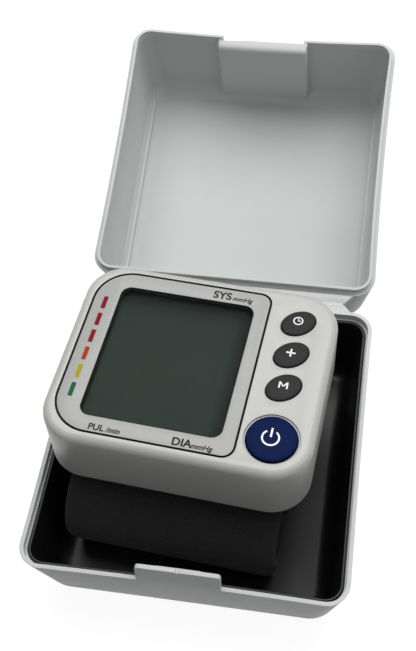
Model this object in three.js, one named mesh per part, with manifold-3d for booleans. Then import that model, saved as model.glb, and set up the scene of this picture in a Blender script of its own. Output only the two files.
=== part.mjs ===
// A wrist blood pressure monitor lying in its hinged storage case, with the lid thrown back.
// Millimetres, +Z up, +X to the right, +Y towards the hinge. The origin is the centre of the underside of
// the case, on the table. Depths inside the monitor are counted down from its face.

import * as THREE from 'three';
import { mergeVertices } from 'three/addons/utils/BufferGeometryUtils.js';
import Module from 'manifold-3d';

const wasm = await Module();
wasm.setup();

// Driving dimensions of the whole

const clearance = 0.3;
const seatGap = 0.1;
const overrun = 2;
const cornerSteps = 6;
const roundSteps = 22;
const smallSteps = 10;
const filletSteps = 4;
const degree = Math.PI / 180;
const quarterTurn = Math.PI / 2;

// Case

const caseWidth = 89;
const frontRoom = 13.2;
const backRoom = 9.6;
const baseHeight = 28.2;
const lidHeight = 32.4;
const rimCorner = 6.5;
const floorCorner = 8;
const baseFillet = 6.2;
const lidFillet = 5.2;
const baseDraft = 3.6;
const lidDraft = 2.9;
const shellWall = 1.2;
const floorWall = 1.5;
const baseRimWidth = 1.1;
const baseRimDepth = 2.4;
const plugHeight = 2;
const plugWall = 0.8;
const plugRootDepth = 1.4;
const linerWall = 0.8;
const linerDrop = 2.2;

// Hinge of the case: two flanges that meet at a crease

const hingeReach = 3;
const hingeDrop = 0.4;
const flangeThickness = 1.2;
const flangeInset = 6;
const flangeChamfer = 3;
const creaseGap = 0.3;
const rimGapClosed = 0.4;
const lidOpenAngle = 166.2;

// Latch: a leaning tongue on the base that stands in a finger recess of the lid, behind its bead

const tongueWidth = 22.6;
const tongueHeight = 6.3;
const tongueLean = 1;
const tongueRoot = 1.5;
const tongueChamfer = 1.2;
const tongueNotchWidth = 0.8;
const tongueNotchDepth = 0.4;
const catchWidth = 12;
const catchHeight = 1.2;
const catchReach = 0.3;
const catchDrop = 0.6;
const recessWidth = 27.4;
const recessDepth = 4.2;
const beadDepth = 2.8;
const beadHeight = 5.6;
const bumpTopWidth = 0.6;
const bumpRoundDrop = 3.5;

// Monitor: its place in the case and its outside

const faceCentreX = -2.7;
const faceHeight = 53.2;
const monitorTurn = -4.4;
const monitorTilt = 4.9;
const bodyWidth = 72;
const bodyLength = 59;
const bodyCorner = 11;
const faceFillet = 2.2;
const frontDepth = 19.5;
const bodyDepth = 24.5;
const bodyWall = 1.8;
const faceWall = 1.8;
const rearFillet = 4;
const rearLedge = 0.5;
const rearWall = 1.6;
const rearStep = 0.5;
const lipHeight = 1.6;
const lipWall = 1;
const ribThickness = 1;
const ribInset = 2.6;
const ribSpread = 8;

// Display

const panelLeft = -33.2;
const panelRight = 16.8;
const panelInset = 2.6;
const panelHalfLength = bodyLength / 2 - panelInset;
const panelLeftCorner = 10.6;
const panelRightCorner = 3.6;
const panelGroove = 0.35;
const panelRecess = 1;
const panelThickness = 0.7;
const windowCentreX = -6.65;
const windowWidth = 38.3;
const windowInset = 5.2;
const windowLength = 2 * (panelHalfLength - windowInset);
const windowCorner = 3;
const glassSide = 1.85;
const glassEnd = 1.3;
const glassWidth = windowWidth + 2 * glassSide;
const glassLength = windowLength + 2 * glassEnd;
const glassThickness = 0.9;
const glassStep = 2.4;
const carrierRim = 1.3;
const carrierCorner = 3;
const carrierWall = 0.9;
const stripWidth = 1.8;
const stripLength = 36;

// Buttons and the switches under them

const buttonX = 25.15;
const smallButtonWidth = 9.9;
const smallButtonLength = 7.35;
const smallButtonTurn = 40;
const powerButtonWidth = 13.1;
const buttonPlaces = { clock: 18.4, plus: 7.65, memory: -3.1 };
const powerButtonY = -18.85;
const buttonGap = 0.3;
const buttonProud = 0.75;
const buttonCrown = 0.55;
const buttonFlange = 0.8;
const buttonFlangeThickness = 0.7;
const buttonStemRadius = 1.5;
const buttonTravel = 0.6;
const switchWidth = 4.4;
const switchHeight = 0.9;
const switchPlungerRadius = 1.3;
const switchPlungerHeight = 0.35;

// Circuit board and what it carries

const boardThickness = 1.2;
const boardDepth = 6.5;
const boardInset = 0.6;
const boardCorner = 8.5;
const chipWidth = 9;
const chipHeight = 0.9;
const chipX = 3;
const chipY = 17;
const buzzerRadius = 5;
const buzzerHeight = 1.6;
const buzzerX = 5;
const buzzerY = -6;
const sensorWidth = 7.2;
const sensorHeight = 3.2;
const sensorX = 12;
const sensorY = -17;

// Batteries, two AAA cells

const cellRadius = 5.25;
const cellLength = 44.5;
const cellNubRadius = 1.9;
const cellNubHeight = 0.8;
const cellPitch = 10.8;
const cellDepth = 13.9;
const trayWall = 1;
const springRoom = 1.75;
const trayHalfLength = cellLength / 2 + springRoom + trayWall;
const doorInset = 0.7;
const doorHalfLength = trayHalfLength - doorInset;
const doorTop = 8.2;
const gripWidth = 14;
const gripHeight = 4;
const gripDepth = 0.7;
const contactThickness = 0.3;
const contactMargin = 1;
const springWire = 0.7;
const springInner = 1.6;
const springOuter = 3.9;
const springTurns = 2.5;
const springTurnSteps = 8;
const springSides = 5;

// Pump, valve and air lines

const motorRadius = 6.5;
const motorFlat = 5.2;
const motorLength = 18;
const pumpX = 24.6;
const pumpDepth = 15.4;
const motorFront = -23.5;
const pumpHeadWidth = 14;
const pumpHeadHeight = 12.6;
const pumpHeadLength = 12.5;
const pumpRibReach = 5.6;
const pumpRibSetback = 3.5;
const nozzleRadius = 1.1;
const nozzleLength = 3;
const valveWidth = 9.6;
const valveLength = 13;
const valveHeight = 9.6;
const valveX = 16;
const valveFront = 8;
const manifoldRadius = 1.7;
const manifoldArm = 4;
const manifoldX = 8;
const manifoldY = 4;
const manifoldDepth = 18;
const hoseRadius = 1.5;
const hoseLead = 1.6;
const hoseFloorGap = 0.7;
const hoseSides = 8;
const hoseSteps = 14;
const portX = 2;
const portY = -8;
const portRadius = 2;
const portFlange = 3.6;

// Wall bosses and screws

const bossRadius = 2;
const bossXs = [-7.2, 19];
const bossY = 26.2;
const pilotRadius = 1.05;
const screwRadius = 0.75;
const screwHeadRadius = 1.6;
const screwHeadHeight = 1;
const screwLength = 7.5;

// Cuff: a band of layers that leaves the underside at both long edges and laps over itself on the floor

const rivetInset = 9;
const rivetX = bodyWidth / 2 - rivetInset;
const rivetMargin = 4.2;
const rivetRadius = 1.1;
const rivetHeadRadius = 1.7;
const rivetHeadHeight = 0.8;
const rivetEdge = 1.5;
const stiffenerWidth = 2 * (rivetX + rivetEdge);
const bladderGap = 2.3;
const bladderWidth = 2 * (rivetX - rivetHeadRadius - bladderGap);
const bandHem = 1;
const cuffWidth = stiffenerWidth + 2 * bandHem;
const cuffFloorGap = 0.6;
const cuffBack = 27.4;
const cuffFront = -40;
const cuffBackRadius = 9.2;
const cuffFrontRadius = 13;
const bandThickness = 1.2;
const stiffenerThickness = 0.8;
const bladderThickness = 1.4;
const liningThickness = 0.8;
const patchThickness = 0.8;
const patchInset = 3.5;
const patchWidth = cuffWidth - 2 * patchInset;
const patchMargin = 3;
const innerEndY = -18;
const tailEndY = 12;
const bladderEndShare = 0.5;
const liningEndShare = 0.84;
const cuffArcSteps = 7;

// Levels and places that several pieces share, worked out from the sizes above

// The case leaves room for hands in front of the cuff and behind it
const caseDepth = frontRoom - cuffFront + cuffBack + backRoom;
const faceCentre = new THREE.Vector3(faceCentreX, frontRoom - cuffFront - caseDepth / 2, faceHeight);
const hingeY = caseDepth / 2 + hingeReach;
const hingeZ = baseHeight - hingeDrop;
const flangeTop = hingeZ - creaseGap / 2;
const plugInset = baseRimWidth + clearance;
const lidAxisZ = lidHeight - plugHeight + rimGapClosed + hingeDrop;

const boardTop = -boardDepth;
const boardBottom = boardTop - boardThickness;
const rearTop = -frontDepth - clearance;
const rearFloor = rearWall - bodyDepth;
const lipInset = bodyWall + clearance;
const bossTop = boardBottom - clearance;
const bossBottom = clearance - frontDepth;
const screwSeat = rearTop - lipHeight;

const glassTop = -faceWall - clearance;
const glassBottom = glassTop - 2 * glassThickness;
const carrierTop = glassTop - glassThickness - clearance;
const carrierBottom = boardTop + clearance;
const carrierWidth = glassWidth + 2 * carrierRim;
const carrierLength = glassLength + 2 * carrierRim;
const stripY = -(glassLength / 2 - stripWidth / 2 - clearance - glassStep / 4);

const trayLeft = -bodyWidth / 2 + bodyWall + 2 * clearance;
const outerCellX = trayLeft + cellRadius + 2 * clearance;
const innerCellX = outerCellX + cellPitch;
const trayRight = innerCellX + cellRadius + clearance + trayWall;
const trayFloor = -cellDepth - cellRadius - clearance;
const trayTop = boardBottom - clearance;
const cellShift = cellNubHeight + contactThickness;
const contactReach = cellRadius - contactMargin;

const motorBack = motorFront + motorLength;
const headFront = motorBack + clearance;
const headBack = headFront + pumpHeadLength;
const valveZ = boardBottom - clearance - valveHeight / 2;
const manifoldZ = -manifoldDepth;
const sensorNozzleEnd = boardBottom - seatGap - sensorHeight - nozzleLength;
const portTop = rearFloor + nozzleLength;

const tilt = monitorTilt * degree;
const linerFloor = floorWall + clearance + linerWall;
const tailHeight = linerFloor + cuffFloorGap - faceCentre.z;
const lapRise = bandThickness + 2 * patchThickness + 3 * clearance;
const cuffTop = -bodyDepth - clearance;
const stiffenerInset = bandThickness + clearance;
const stiffenerBottom = cuffTop - stiffenerInset - stiffenerThickness;
const bladderInset = stiffenerInset + stiffenerThickness + clearance;
const liningInset = bladderInset + bladderThickness + clearance;

function fourPlaces(xs, reachY) {
  return xs.flatMap((x) => [{ x, y: -reachY }, { x, y: reachY }]);
}

const screwPlaces = fourPlaces(bossXs, bossY);
const rivetPlaces = fourPlaces([-rivetX, rivetX], cuffBack - cuffBackRadius - rivetMargin);

// Ribs on the floor of the rear housing carry the battery tray, the motor and the pump head
const trayRib = {
  left: trayLeft + ribInset,
  right: trayRight - ribInset,
  top: trayFloor - trayWall - clearance,
};
const pumpRib = { left: pumpX - pumpRibReach, right: pumpX + pumpRibReach };
const motorRibTop = -pumpDepth - motorFlat - clearance;
const rearRibs = [
  { ...trayRib, y: -ribSpread },
  { ...trayRib, y: ribSpread },
  { ...pumpRib, y: motorFront + pumpRibSetback, top: motorRibTop },
  { ...pumpRib, y: motorBack - pumpRibSetback, top: motorRibTop },
  { ...pumpRib, y: (headFront + headBack) / 2, top: -pumpDepth - pumpHeadHeight / 2 - clearance },
];

// Finishes

function finish(color, roughness, metalness = 0) {
  return new THREE.MeshStandardMaterial({ color, roughness, metalness, flatShading: true });
}

const casePlastic = finish('#bcc0c1', 0.5);
const linerPlastic = finish('#1b1b1c', 0.45);
const housingPlastic = finish('#d6d7d2', 0.35);
const panelPrint = finish('#b9bab6', 0.4);
const lensPlastic = finish('#59655f', 0.1);
const displayGlass = finish('#4e5c57', 0.15);
const buttonRubber = finish('#3b3b3d', 0.6);
const powerRubber = finish('#17315f', 0.55);
const whitePlastic = finish('#e4e4e0', 0.5);
const boardGreen = finish('#1e5b3a', 0.5);
const blackPlastic = finish('#202022', 0.5);
const rubber = finish('#3a3a3c', 0.8);
const silicone = finish('#d8d6cc', 0.6);
const steel = finish('#b5b7ba', 0.35, 1);
const cellJacket = finish('#3f4a5c', 0.35, 0.3);
const cuffFabric = finish('#1d1d1f', 0.9);

// Solids: closed geometry in, joins and cuts, closed geometry out

function toSolid(geometry) {
  const bare = geometry.clone();
  bare.deleteAttribute('normal');
  bare.deleteAttribute('uv');
  const merged = mergeVertices(bare);
  const vertProperties = new Float32Array(merged.attributes.position.array);
  const triVerts = new Uint32Array(merged.index.array);
  const solid = new wasm.Manifold(new wasm.Mesh({ numProp: 3, vertProperties, triVerts }));
  if (solid.volume() > 0) return solid;
  for (let i = 0; i < triVerts.length; i += 3) {
    const swapped = triVerts[i];
    triVerts[i] = triVerts[i + 1];
    triVerts[i + 1] = swapped;
  }
  return new wasm.Manifold(new wasm.Mesh({ numProp: 3, vertProperties, triVerts }));
}

function toMesh(name, solid, material) {
  const { vertProperties, triVerts } = solid.getMesh();
  const geometry = new THREE.BufferGeometry();
  geometry.setAttribute('position', new THREE.BufferAttribute(vertProperties, 3));
  geometry.setIndex(new THREE.BufferAttribute(triVerts, 1));
  const mesh = new THREE.Mesh(geometry, material);
  mesh.name = name;
  return mesh;
}

// Outlines in plan, counter-clockwise

function roundedOutline(left, right, front, back, radii) {
  const corners = [
    { x: right, y: front, radius: radii.frontRight, start: -1 },
    { x: right, y: back, radius: radii.backRight, start: 0 },
    { x: left, y: back, radius: radii.backLeft, start: 1 },
    { x: left, y: front, radius: radii.frontLeft, start: 2 },
  ];
  const points = [];
  for (const { x, y, radius, start } of corners) {
    const centreX = x - radius * Math.sign(x - (left + right) / 2);
    const centreY = y - radius * Math.sign(y - (front + back) / 2);
    for (let step = 0; step <= cornerSteps; step += 1) {
      const angle = quarterTurn * (start + step / cornerSteps);
      points.push(new THREE.Vector2(centreX + radius * Math.cos(angle), centreY + radius * Math.sin(angle)));
    }
  }
  return points;
}

function evenCorners(radius) {
  return { frontLeft: radius, frontRight: radius, backRight: radius, backLeft: radius };
}

function centredOutline(width, length, radius, centreX = 0, centreY = 0) {
  return roundedOutline(centreX - width / 2, centreX + width / 2, centreY - length / 2,
    centreY + length / 2, evenCorners(radius));
}

// A prism stands on an outline, and a loft runs through outlines of equal point counts at rising levels

function prism(points, low, high) {
  const shape = new THREE.Shape(points);
  const geometry = new THREE.ExtrudeGeometry(shape, { depth: high - low, bevelEnabled: false });
  return toSolid(geometry.translate(0, 0, low));
}

function block(left, right, front, back, low, high) {
  const geometry = new THREE.BoxGeometry(right - left, back - front, high - low);
  geometry.translate((left + right) / 2, (front + back) / 2, (low + high) / 2);
  return toSolid(geometry);
}

function loft(sections) {
  const count = sections[0].points.length;
  const positions = [];
  const indices = [];
  for (const { points, level } of sections) {
    for (const point of points) positions.push(point.x, point.y, level);
  }
  for (let ring = 0; ring + 1 < sections.length; ring += 1) {
    for (let i = 0; i < count; i += 1) {
      const a = ring * count + i;
      const b = ring * count + (i + 1) % count;
      indices.push(a, b, b + count, a, b + count, a + count);
    }
  }
  const top = (sections.length - 1) * count;
  for (let i = 1; i + 1 < count; i += 1) {
    indices.push(0, i + 1, i);
    indices.push(top, top + i, top + i + 1);
  }
  const geometry = new THREE.BufferGeometry();
  geometry.setAttribute('position', new THREE.Float32BufferAttribute(positions, 3));
  geometry.setIndex(indices);
  return toSolid(geometry);
}

function cylinder(radius, low, high, x = 0, y = 0, steps = roundSteps) {
  const geometry = new THREE.CylinderGeometry(radius, radius, high - low, steps);
  geometry.rotateX(quarterTurn);
  geometry.translate(x, y, (low + high) / 2);
  return toSolid(geometry);
}

function cylinderAlongY(radius, front, back, x, z, steps = roundSteps) {
  const geometry = new THREE.CylinderGeometry(radius, radius, back - front, steps);
  geometry.translate(x, (front + back) / 2, z);
  return toSolid(geometry);
}

function tube(points, radius, sides, steps) {
  const path = new THREE.CatmullRomCurve3(points, false, 'centripetal');
  const section = new THREE.Shape();
  for (let side = 0; side < sides; side += 1) {
    const angle = 4 * quarterTurn * side / sides;
    if (side === 0) section.moveTo(radius, 0);
    else section.lineTo(radius * Math.cos(angle), radius * Math.sin(angle));
  }
  return toSolid(new THREE.ExtrudeGeometry(section, { steps, bevelEnabled: false, extrudePath: path }));
}

// Tubs: a moulded shell narrows towards its floor, where its corners are rounder and its edge is filleted

const baseSizes = {
  height: baseHeight,
  draft: baseDraft,
  floorFillet: baseFillet,
  rimWidth: baseRimWidth,
  rimDepth: baseRimDepth,
};
const lidSizes = {
  height: lidHeight,
  draft: lidDraft,
  floorFillet: lidFillet,
  rimWidth: plugInset + plugWall,
  rimDepth: plugHeight + plugRootDepth,
};

function tubOutline(height, draft, inset, level, pull) {
  const share = level / height;
  const lean = draft * (1 - share) + inset + pull;
  const radius = floorCorner + (rimCorner - floorCorner) * share - inset - pull;
  return centredOutline(caseWidth - 2 * lean, caseDepth - 2 * lean, radius);
}

function tub({ height, draft, floorFillet, inset = 0, floor = 0, top = height }) {
  const fillet = floorFillet - inset;
  const sections = [];
  for (let step = 0; step <= filletSteps; step += 1) {
    const angle = quarterTurn * step / filletSteps;
    const level = floor + fillet * (1 - Math.cos(angle));
    const pull = fillet * (1 - Math.sin(angle));
    sections.push({ points: tubOutline(height, draft, inset, level, pull), level });
  }
  sections.push({ points: tubOutline(height, draft, inset, top, 0), level: top });
  return loft(sections);
}

function rimPrism(inset, low, high) {
  return prism(centredOutline(caseWidth - 2 * inset, caseDepth - 2 * inset, rimCorner - inset), low, high);
}

function hollow(sizes) {
  const belowRim = sizes.height - sizes.rimDepth;
  const cavity = tub({ ...sizes, inset: shellWall, floor: floorWall, top: belowRim });
  return cavity.add(rimPrism(sizes.rimWidth, belowRim - overrun, sizes.height + overrun));
}

function extrudeAlongX(points, halfWidth) {
  const outline = new THREE.Shape(points.map(([y, z]) => new THREE.Vector2(y, z)));
  const geometry = new THREE.ExtrudeGeometry(outline, { depth: 2 * halfWidth, bevelEnabled: false });
  return toSolid(geometry.rotateX(quarterTurn).rotateZ(quarterTurn).translate(-halfWidth, 0, 0));
}

function hingeFlange(wallY, creaseY, low, high) {
  const halfLength = caseWidth / 2 - flangeInset;
  const points = [
    new THREE.Vector2(-halfLength, wallY),
    new THREE.Vector2(halfLength, wallY),
    new THREE.Vector2(halfLength - flangeChamfer, creaseY),
    new THREE.Vector2(flangeChamfer - halfLength, creaseY),
  ];
  return prism(points, low, high);
}

function makeTongue(front) {
  const top = baseHeight + tongueHeight;
  const half = tongueWidth / 2;
  const profile = [
    [front, baseHeight],
    [front + shellWall / 2, baseHeight - tongueRoot],
    [front + shellWall, baseHeight - tongueRoot],
    [front + shellWall, baseHeight],
    [front + tongueLean + shellWall, top],
    [front + tongueLean, top],
  ];
  const faceOutline = [
    new THREE.Vector2(-half, baseHeight - overrun),
    new THREE.Vector2(half, baseHeight - overrun),
    new THREE.Vector2(half, top - tongueChamfer),
    new THREE.Vector2(half - tongueChamfer / 2, top),
    new THREE.Vector2(tongueNotchWidth / 2, top),
    new THREE.Vector2(tongueNotchWidth / 2, top - tongueNotchDepth),
    new THREE.Vector2(-tongueNotchWidth / 2, top - tongueNotchDepth),
    new THREE.Vector2(-tongueNotchWidth / 2, top),
    new THREE.Vector2(tongueChamfer / 2 - half, top),
    new THREE.Vector2(-half, top - tongueChamfer),
  ];
  const face = toSolid(new THREE.ExtrudeGeometry(new THREE.Shape(faceOutline),
    { depth: 4 * overrun, bevelEnabled: false })
    .rotateX(quarterTurn).translate(0, front + 3 * overrun, 0));
  const catchBack = front + tongueLean + shellWall + catchReach;
  const catchTop = top - catchDrop;
  const catchRib = block(-catchWidth / 2, catchWidth / 2, front + tongueLean + shellWall / 2, catchBack,
    catchTop - catchHeight, catchTop);
  return extrudeAlongX(profile, half).intersect(face).add(catchRib);
}

function makeBase() {
  const flange = hingeFlange(caseDepth / 2 - shellWall / 2, hingeY - creaseGap / 2,
    flangeTop - flangeThickness, flangeTop);
  return tub(baseSizes)
    .subtract(hollow(baseSizes))
    .add(flange)
    .add(makeTongue(-caseDepth / 2));
}

function makeLiner() {
  const inset = shellWall + clearance;
  const floor = floorWall + clearance;
  const top = baseHeight - linerDrop;
  return tub({ ...baseSizes, inset, floor, top })
    .subtract(tub({ ...baseSizes, inset: inset + linerWall, floor: floor + linerWall, top: top + overrun }));
}

// The lid is drawn as a tub that stands on its floor, with the hinge on its near side. Its rim is set in, to
// plug into the base, and a bump inside its far wall makes room for the tongue.

function makeBump(far) {
  const topY = far - beadDepth - bumpTopWidth;
  const faceY = far - recessDepth - shellWall;
  const high = lidHeight + overrun;
  const profile = [[far + overrun, -overrun], [far + overrun, high], [topY, high]];
  for (let step = 0; step <= cornerSteps; step += 1) {
    const angle = quarterTurn * step / cornerSteps;
    profile.push([
      topY + (faceY - topY) * Math.sin(angle),
      lidHeight - bumpRoundDrop * (1 - Math.cos(angle)),
    ]);
  }
  profile.push([faceY, -overrun]);
  return extrudeAlongX(profile, recessWidth / 2 + shellWall);
}

function makeRecess(far) {
  const recessY = far - recessDepth;
  const beadLow = lidHeight - beadHeight;
  return extrudeAlongX([
    [far + overrun, -overrun],
    [far + overrun, lidHeight + overrun],
    [far - beadDepth, lidHeight + overrun],
    [far - beadDepth, beadLow],
    [recessY, beadLow - (recessDepth - beadDepth)],
    [recessY, -overrun],
  ], recessWidth / 2);
}

function makeLid() {
  const far = caseDepth / 2;
  const ledge = lidHeight - plugHeight;
  const besidePlug = block(-caseWidth, caseWidth, -caseDepth, caseDepth, ledge, lidHeight + overrun)
    .subtract(rimPrism(plugInset, ledge - overrun, lidHeight + 2 * overrun));
  const flange = hingeFlange(far - shellWall / 2, hingeReach + far - creaseGap / 2, -flangeThickness, 0)
    .rotate([0, 0, 180]).translate([0, 0, lidAxisZ - creaseGap / 2])
    .subtract(block(-caseWidth, caseWidth, -far - clearance, 0, ledge, lidHeight + overrun));
  return tub(lidSizes)
    .subtract(hollow(lidSizes).subtract(makeBump(far)))
    .subtract(besidePlug)
    .subtract(makeRecess(far))
    .add(flange);
}

// Monitor shells, drawn with the centre of the face at the origin and the face looking up

function bodyOutline(inset) {
  return centredOutline(bodyWidth - 2 * inset, bodyLength - 2 * inset, bodyCorner - inset);
}

function frontBlank() {
  const sections = [{ points: bodyOutline(0), level: -frontDepth }];
  for (let step = 0; step <= filletSteps; step += 1) {
    const angle = quarterTurn * step / filletSteps;
    const level = -faceFillet * (1 - Math.sin(angle));
    sections.push({ points: bodyOutline(faceFillet * (1 - Math.cos(angle))), level });
  }
  return loft(sections);
}

function frontHollow() {
  return prism(bodyOutline(bodyWall), -frontDepth - overrun, -faceWall);
}

function panelOutline(inset) {
  const radii = {
    frontLeft: panelLeftCorner - inset,
    backLeft: panelLeftCorner - inset,
    frontRight: panelRightCorner - inset,
    backRight: panelRightCorner - inset,
  };
  return roundedOutline(panelLeft + inset, panelRight - inset, inset - panelHalfLength,
    panelHalfLength - inset, radii);
}

function windowOutline(inset) {
  return centredOutline(windowWidth - 2 * inset, windowLength - 2 * inset, windowCorner - inset,
    windowCentreX);
}

function buttonHole({ y, width, length, turn }) {
  const points = [];
  for (let step = 0; step < roundSteps; step += 1) {
    const angle = 4 * quarterTurn * step / roundSteps;
    const x = (width / 2 + buttonGap) * Math.cos(angle);
    const point = new THREE.Vector2(x, (length / 2 + buttonGap) * Math.sin(angle));
    points.push(point.rotateAround(new THREE.Vector2(), turn * degree).add(new THREE.Vector2(buttonX, y)));
  }
  return points;
}

// Three slanted ovals and one large round button
const smallButton = {
  width: smallButtonWidth,
  length: smallButtonLength,
  turn: smallButtonTurn,
  material: buttonRubber,
};
const powerButton = { width: powerButtonWidth, length: powerButtonWidth, turn: 0, material: powerRubber };
const buttons = [
  ...Object.entries(buttonPlaces).map(([label, y]) => ({ label, y, ...smallButton })),
  { label: 'power', y: powerButtonY, ...powerButton },
];

function doorBlock(inset) {
  return block(-bodyWidth, -bodyWidth / 2 + bodyCorner, inset - doorHalfLength, doorHalfLength - inset,
    -frontDepth - overrun + inset, -doorTop - inset);
}

function makeFrontHousing() {
  let shell = frontBlank()
    .subtract(frontHollow())
    .subtract(prism(panelOutline(0), -panelRecess, overrun))
    .subtract(prism(windowOutline(-clearance), -faceWall - overrun, overrun));
  for (const button of buttons) {
    shell = shell.subtract(prism(buttonHole(button), -faceWall - overrun, overrun));
  }
  shell = shell.subtract(doorBlock(0).subtract(frontHollow()));
  for (const { x, y } of screwPlaces) {
    const boss = cylinder(bossRadius, bossBottom, bossTop, x, y, smallSteps).intersect(frontBlank());
    const pilot = cylinder(pilotRadius, bossBottom - overrun, bossTop - clearance, x, y, smallSteps);
    shell = shell.add(boss).subtract(pilot);
  }
  return shell;
}

function makeBatteryDoor() {
  const wall = frontBlank().subtract(frontHollow());
  const gripLevel = -(doorTop + frontDepth) / 2;
  const grip = block(-bodyWidth / 2 - overrun, -bodyWidth / 2 + gripDepth, -gripWidth / 2, gripWidth / 2,
    gripLevel - gripHeight / 2, gripLevel + gripHeight / 2);
  return wall.intersect(doorBlock(clearance)).subtract(grip);
}

// The rear housing closes the shell: a shallow tub with a lip inside the front housing and four screw pockets

function rearBlank(inset, bottom, top) {
  const fillet = rearFillet - inset;
  const sections = [];
  for (let step = 0; step <= filletSteps; step += 1) {
    const angle = quarterTurn * step / filletSteps;
    const level = bottom + fillet * (1 - Math.cos(angle));
    const pull = fillet * (1 - Math.sin(angle));
    sections.push({ points: bodyOutline(rearStep + inset + pull), level });
  }
  sections.push({ points: bodyOutline(rearStep + inset), level: top });
  return loft(sections);
}

function makeRearHousing() {
  const lip = prism(bodyOutline(lipInset), rearTop - overrun, rearTop + lipHeight)
    .subtract(block(-bodyWidth, -bodyWidth / 2 + bodyCorner, -trayHalfLength - clearance,
      trayHalfLength + clearance, rearTop, rearTop + 2 * lipHeight));
  let shell = rearBlank(0, -bodyDepth, rearTop).add(lip)
    .subtract(rearBlank(rearWall, rearFloor, rearTop - rearLedge))
    .subtract(prism(bodyOutline(lipInset + lipWall), rearTop - overrun, rearTop + 2 * lipHeight))
    .subtract(block(trayLeft - clearance, trayRight + clearance, -trayHalfLength - clearance,
      trayHalfLength + clearance, trayFloor - trayWall - clearance, rearTop + overrun));
  for (const { left, right, y, top } of rearRibs) {
    const rib = block(left, right, y - ribThickness / 2, y + ribThickness / 2, rearFloor - rearWall / 2, top);
    shell = shell.add(rib);
  }
  for (const { x, y } of screwPlaces) {
    const pocket = cylinder(bossRadius + clearance, rearTop - clearance, rearTop + 2 * lipHeight, x, y,
      smallSteps);
    const pillar = cylinder(screwHeadRadius + lipWall, -bodyDepth, rearTop, x, y, smallSteps)
      .intersect(rearBlank(0, -bodyDepth, rearTop));
    const head = cylinder(screwHeadRadius + clearance, -bodyDepth - overrun, screwSeat, x, y, smallSteps);
    const shank = cylinder(screwRadius + clearance, -bodyDepth, rearTop + overrun, x, y, smallSteps);
    shell = shell.add(pillar).subtract(pocket).subtract(head).subtract(shank);
  }
  const port = cylinder(portRadius + clearance, -bodyDepth - overrun, rearTop, portX, portY, smallSteps);
  shell = shell.subtract(port);
  for (const { x, y } of rivetPlaces) {
    const hole = cylinder(rivetRadius + clearance, -bodyDepth - overrun, rearTop, x, y, smallSteps);
    shell = shell.subtract(hole);
  }
  return shell;
}

function makeScrew({ x, y }) {
  const headTop = screwSeat - clearance;
  const head = cylinder(screwHeadRadius, headTop - screwHeadHeight, headTop, x, y, smallSteps);
  const shank = cylinder(screwRadius, headTop - screwHeadHeight / 2, headTop + screwLength, x, y, smallSteps);
  return head.add(shank);
}

// Display

function makePanel() {
  const top = panelThickness + clearance - panelRecess;
  return prism(panelOutline(panelGroove), clearance - panelRecess, top)
    .subtract(prism(windowOutline(0), -overrun, overrun));
}

function makeLens() {
  const bottom = clearance - panelRecess;
  return prism(windowOutline(clearance), bottom, bottom + panelThickness);
}

function makeDisplay() {
  const upper = centredOutline(glassWidth, glassLength - glassStep, windowCorner / 4, windowCentreX,
    glassStep / 2);
  const lower = centredOutline(glassWidth, glassLength, windowCorner / 4, windowCentreX);
  const joint = glassTop - glassThickness;
  return prism(upper, joint, glassTop).add(prism(lower, glassBottom, joint));
}

function makeCarrier() {
  const outer = prism(centredOutline(carrierWidth, carrierLength, carrierCorner, windowCentreX),
    carrierBottom, carrierTop);
  const seat = prism(centredOutline(glassWidth + 2 * clearance, glassLength + 2 * clearance, windowCorner / 4,
    windowCentreX), glassBottom - clearance, carrierTop + overrun);
  const innerLength = glassLength - 2 * carrierWall - 2 * stripWidth;
  const inner = prism(centredOutline(glassWidth - 2 * carrierWall, innerLength, windowCorner / 4,
    windowCentreX), carrierBottom - overrun, carrierTop);
  const slot = prism(centredOutline(stripLength + 2 * clearance, stripWidth + 2 * clearance, 0,
    windowCentreX, stripY), carrierBottom - overrun, carrierTop);
  return outer.subtract(seat).subtract(inner).subtract(slot);
}

function makeStrip() {
  const outline = centredOutline(stripLength, stripWidth, 0, windowCentreX, stripY);
  return prism(outline, boardTop + clearance, glassBottom - clearance);
}

// Buttons: a crowned cap, a flange that keeps it under the face, and a stem over its switch

function makeButton({ y, width, length, turn }) {
  const radius = width / 2;
  const flangeTopLevel = -faceWall - clearance;
  const flangeBottom = flangeTopLevel - buttonFlangeThickness;
  const stemBottom = boardTop + switchHeight + switchPlungerHeight + buttonTravel + clearance;
  const shoulder = buttonProud - buttonCrown;
  const profile = [
    new THREE.Vector2(0, stemBottom),
    new THREE.Vector2(buttonStemRadius, stemBottom),
    new THREE.Vector2(buttonStemRadius, flangeBottom),
    new THREE.Vector2(radius + buttonFlange, flangeBottom),
    new THREE.Vector2(radius + buttonFlange, flangeTopLevel),
    new THREE.Vector2(radius, flangeTopLevel),
  ];
  for (let step = 0; step <= filletSteps; step += 1) {
    const angle = quarterTurn * step / filletSteps;
    const share = step === filletSteps ? 0 : Math.cos(angle);
    profile.push(new THREE.Vector2(radius * share, shoulder + buttonCrown * Math.sin(angle)));
  }
  const geometry = new THREE.LatheGeometry(profile, roundSteps);
  geometry.rotateX(quarterTurn).scale(1, length / width, 1).rotateZ(turn * degree).translate(buttonX, y, 0);
  return toSolid(geometry);
}

function makeSwitch({ y }) {
  const half = switchWidth / 2;
  const bottom = boardTop + seatGap;
  return block(buttonX - half, buttonX + half, y - half, y + half, bottom, boardTop + switchHeight)
    .add(cylinder(switchPlungerRadius, boardTop, boardTop + switchHeight + switchPlungerHeight, buttonX, y,
      smallSteps).intersect(block(buttonX - half, buttonX + half, y - half, y + half, bottom, 0)));
}

// Circuit board with its parts

function makeBoard() {
  const margin = 2 * (bodyWall + boardInset);
  return prism(centredOutline(bodyWidth - margin, bodyLength - margin, boardCorner), boardBottom, boardTop);
}

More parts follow.
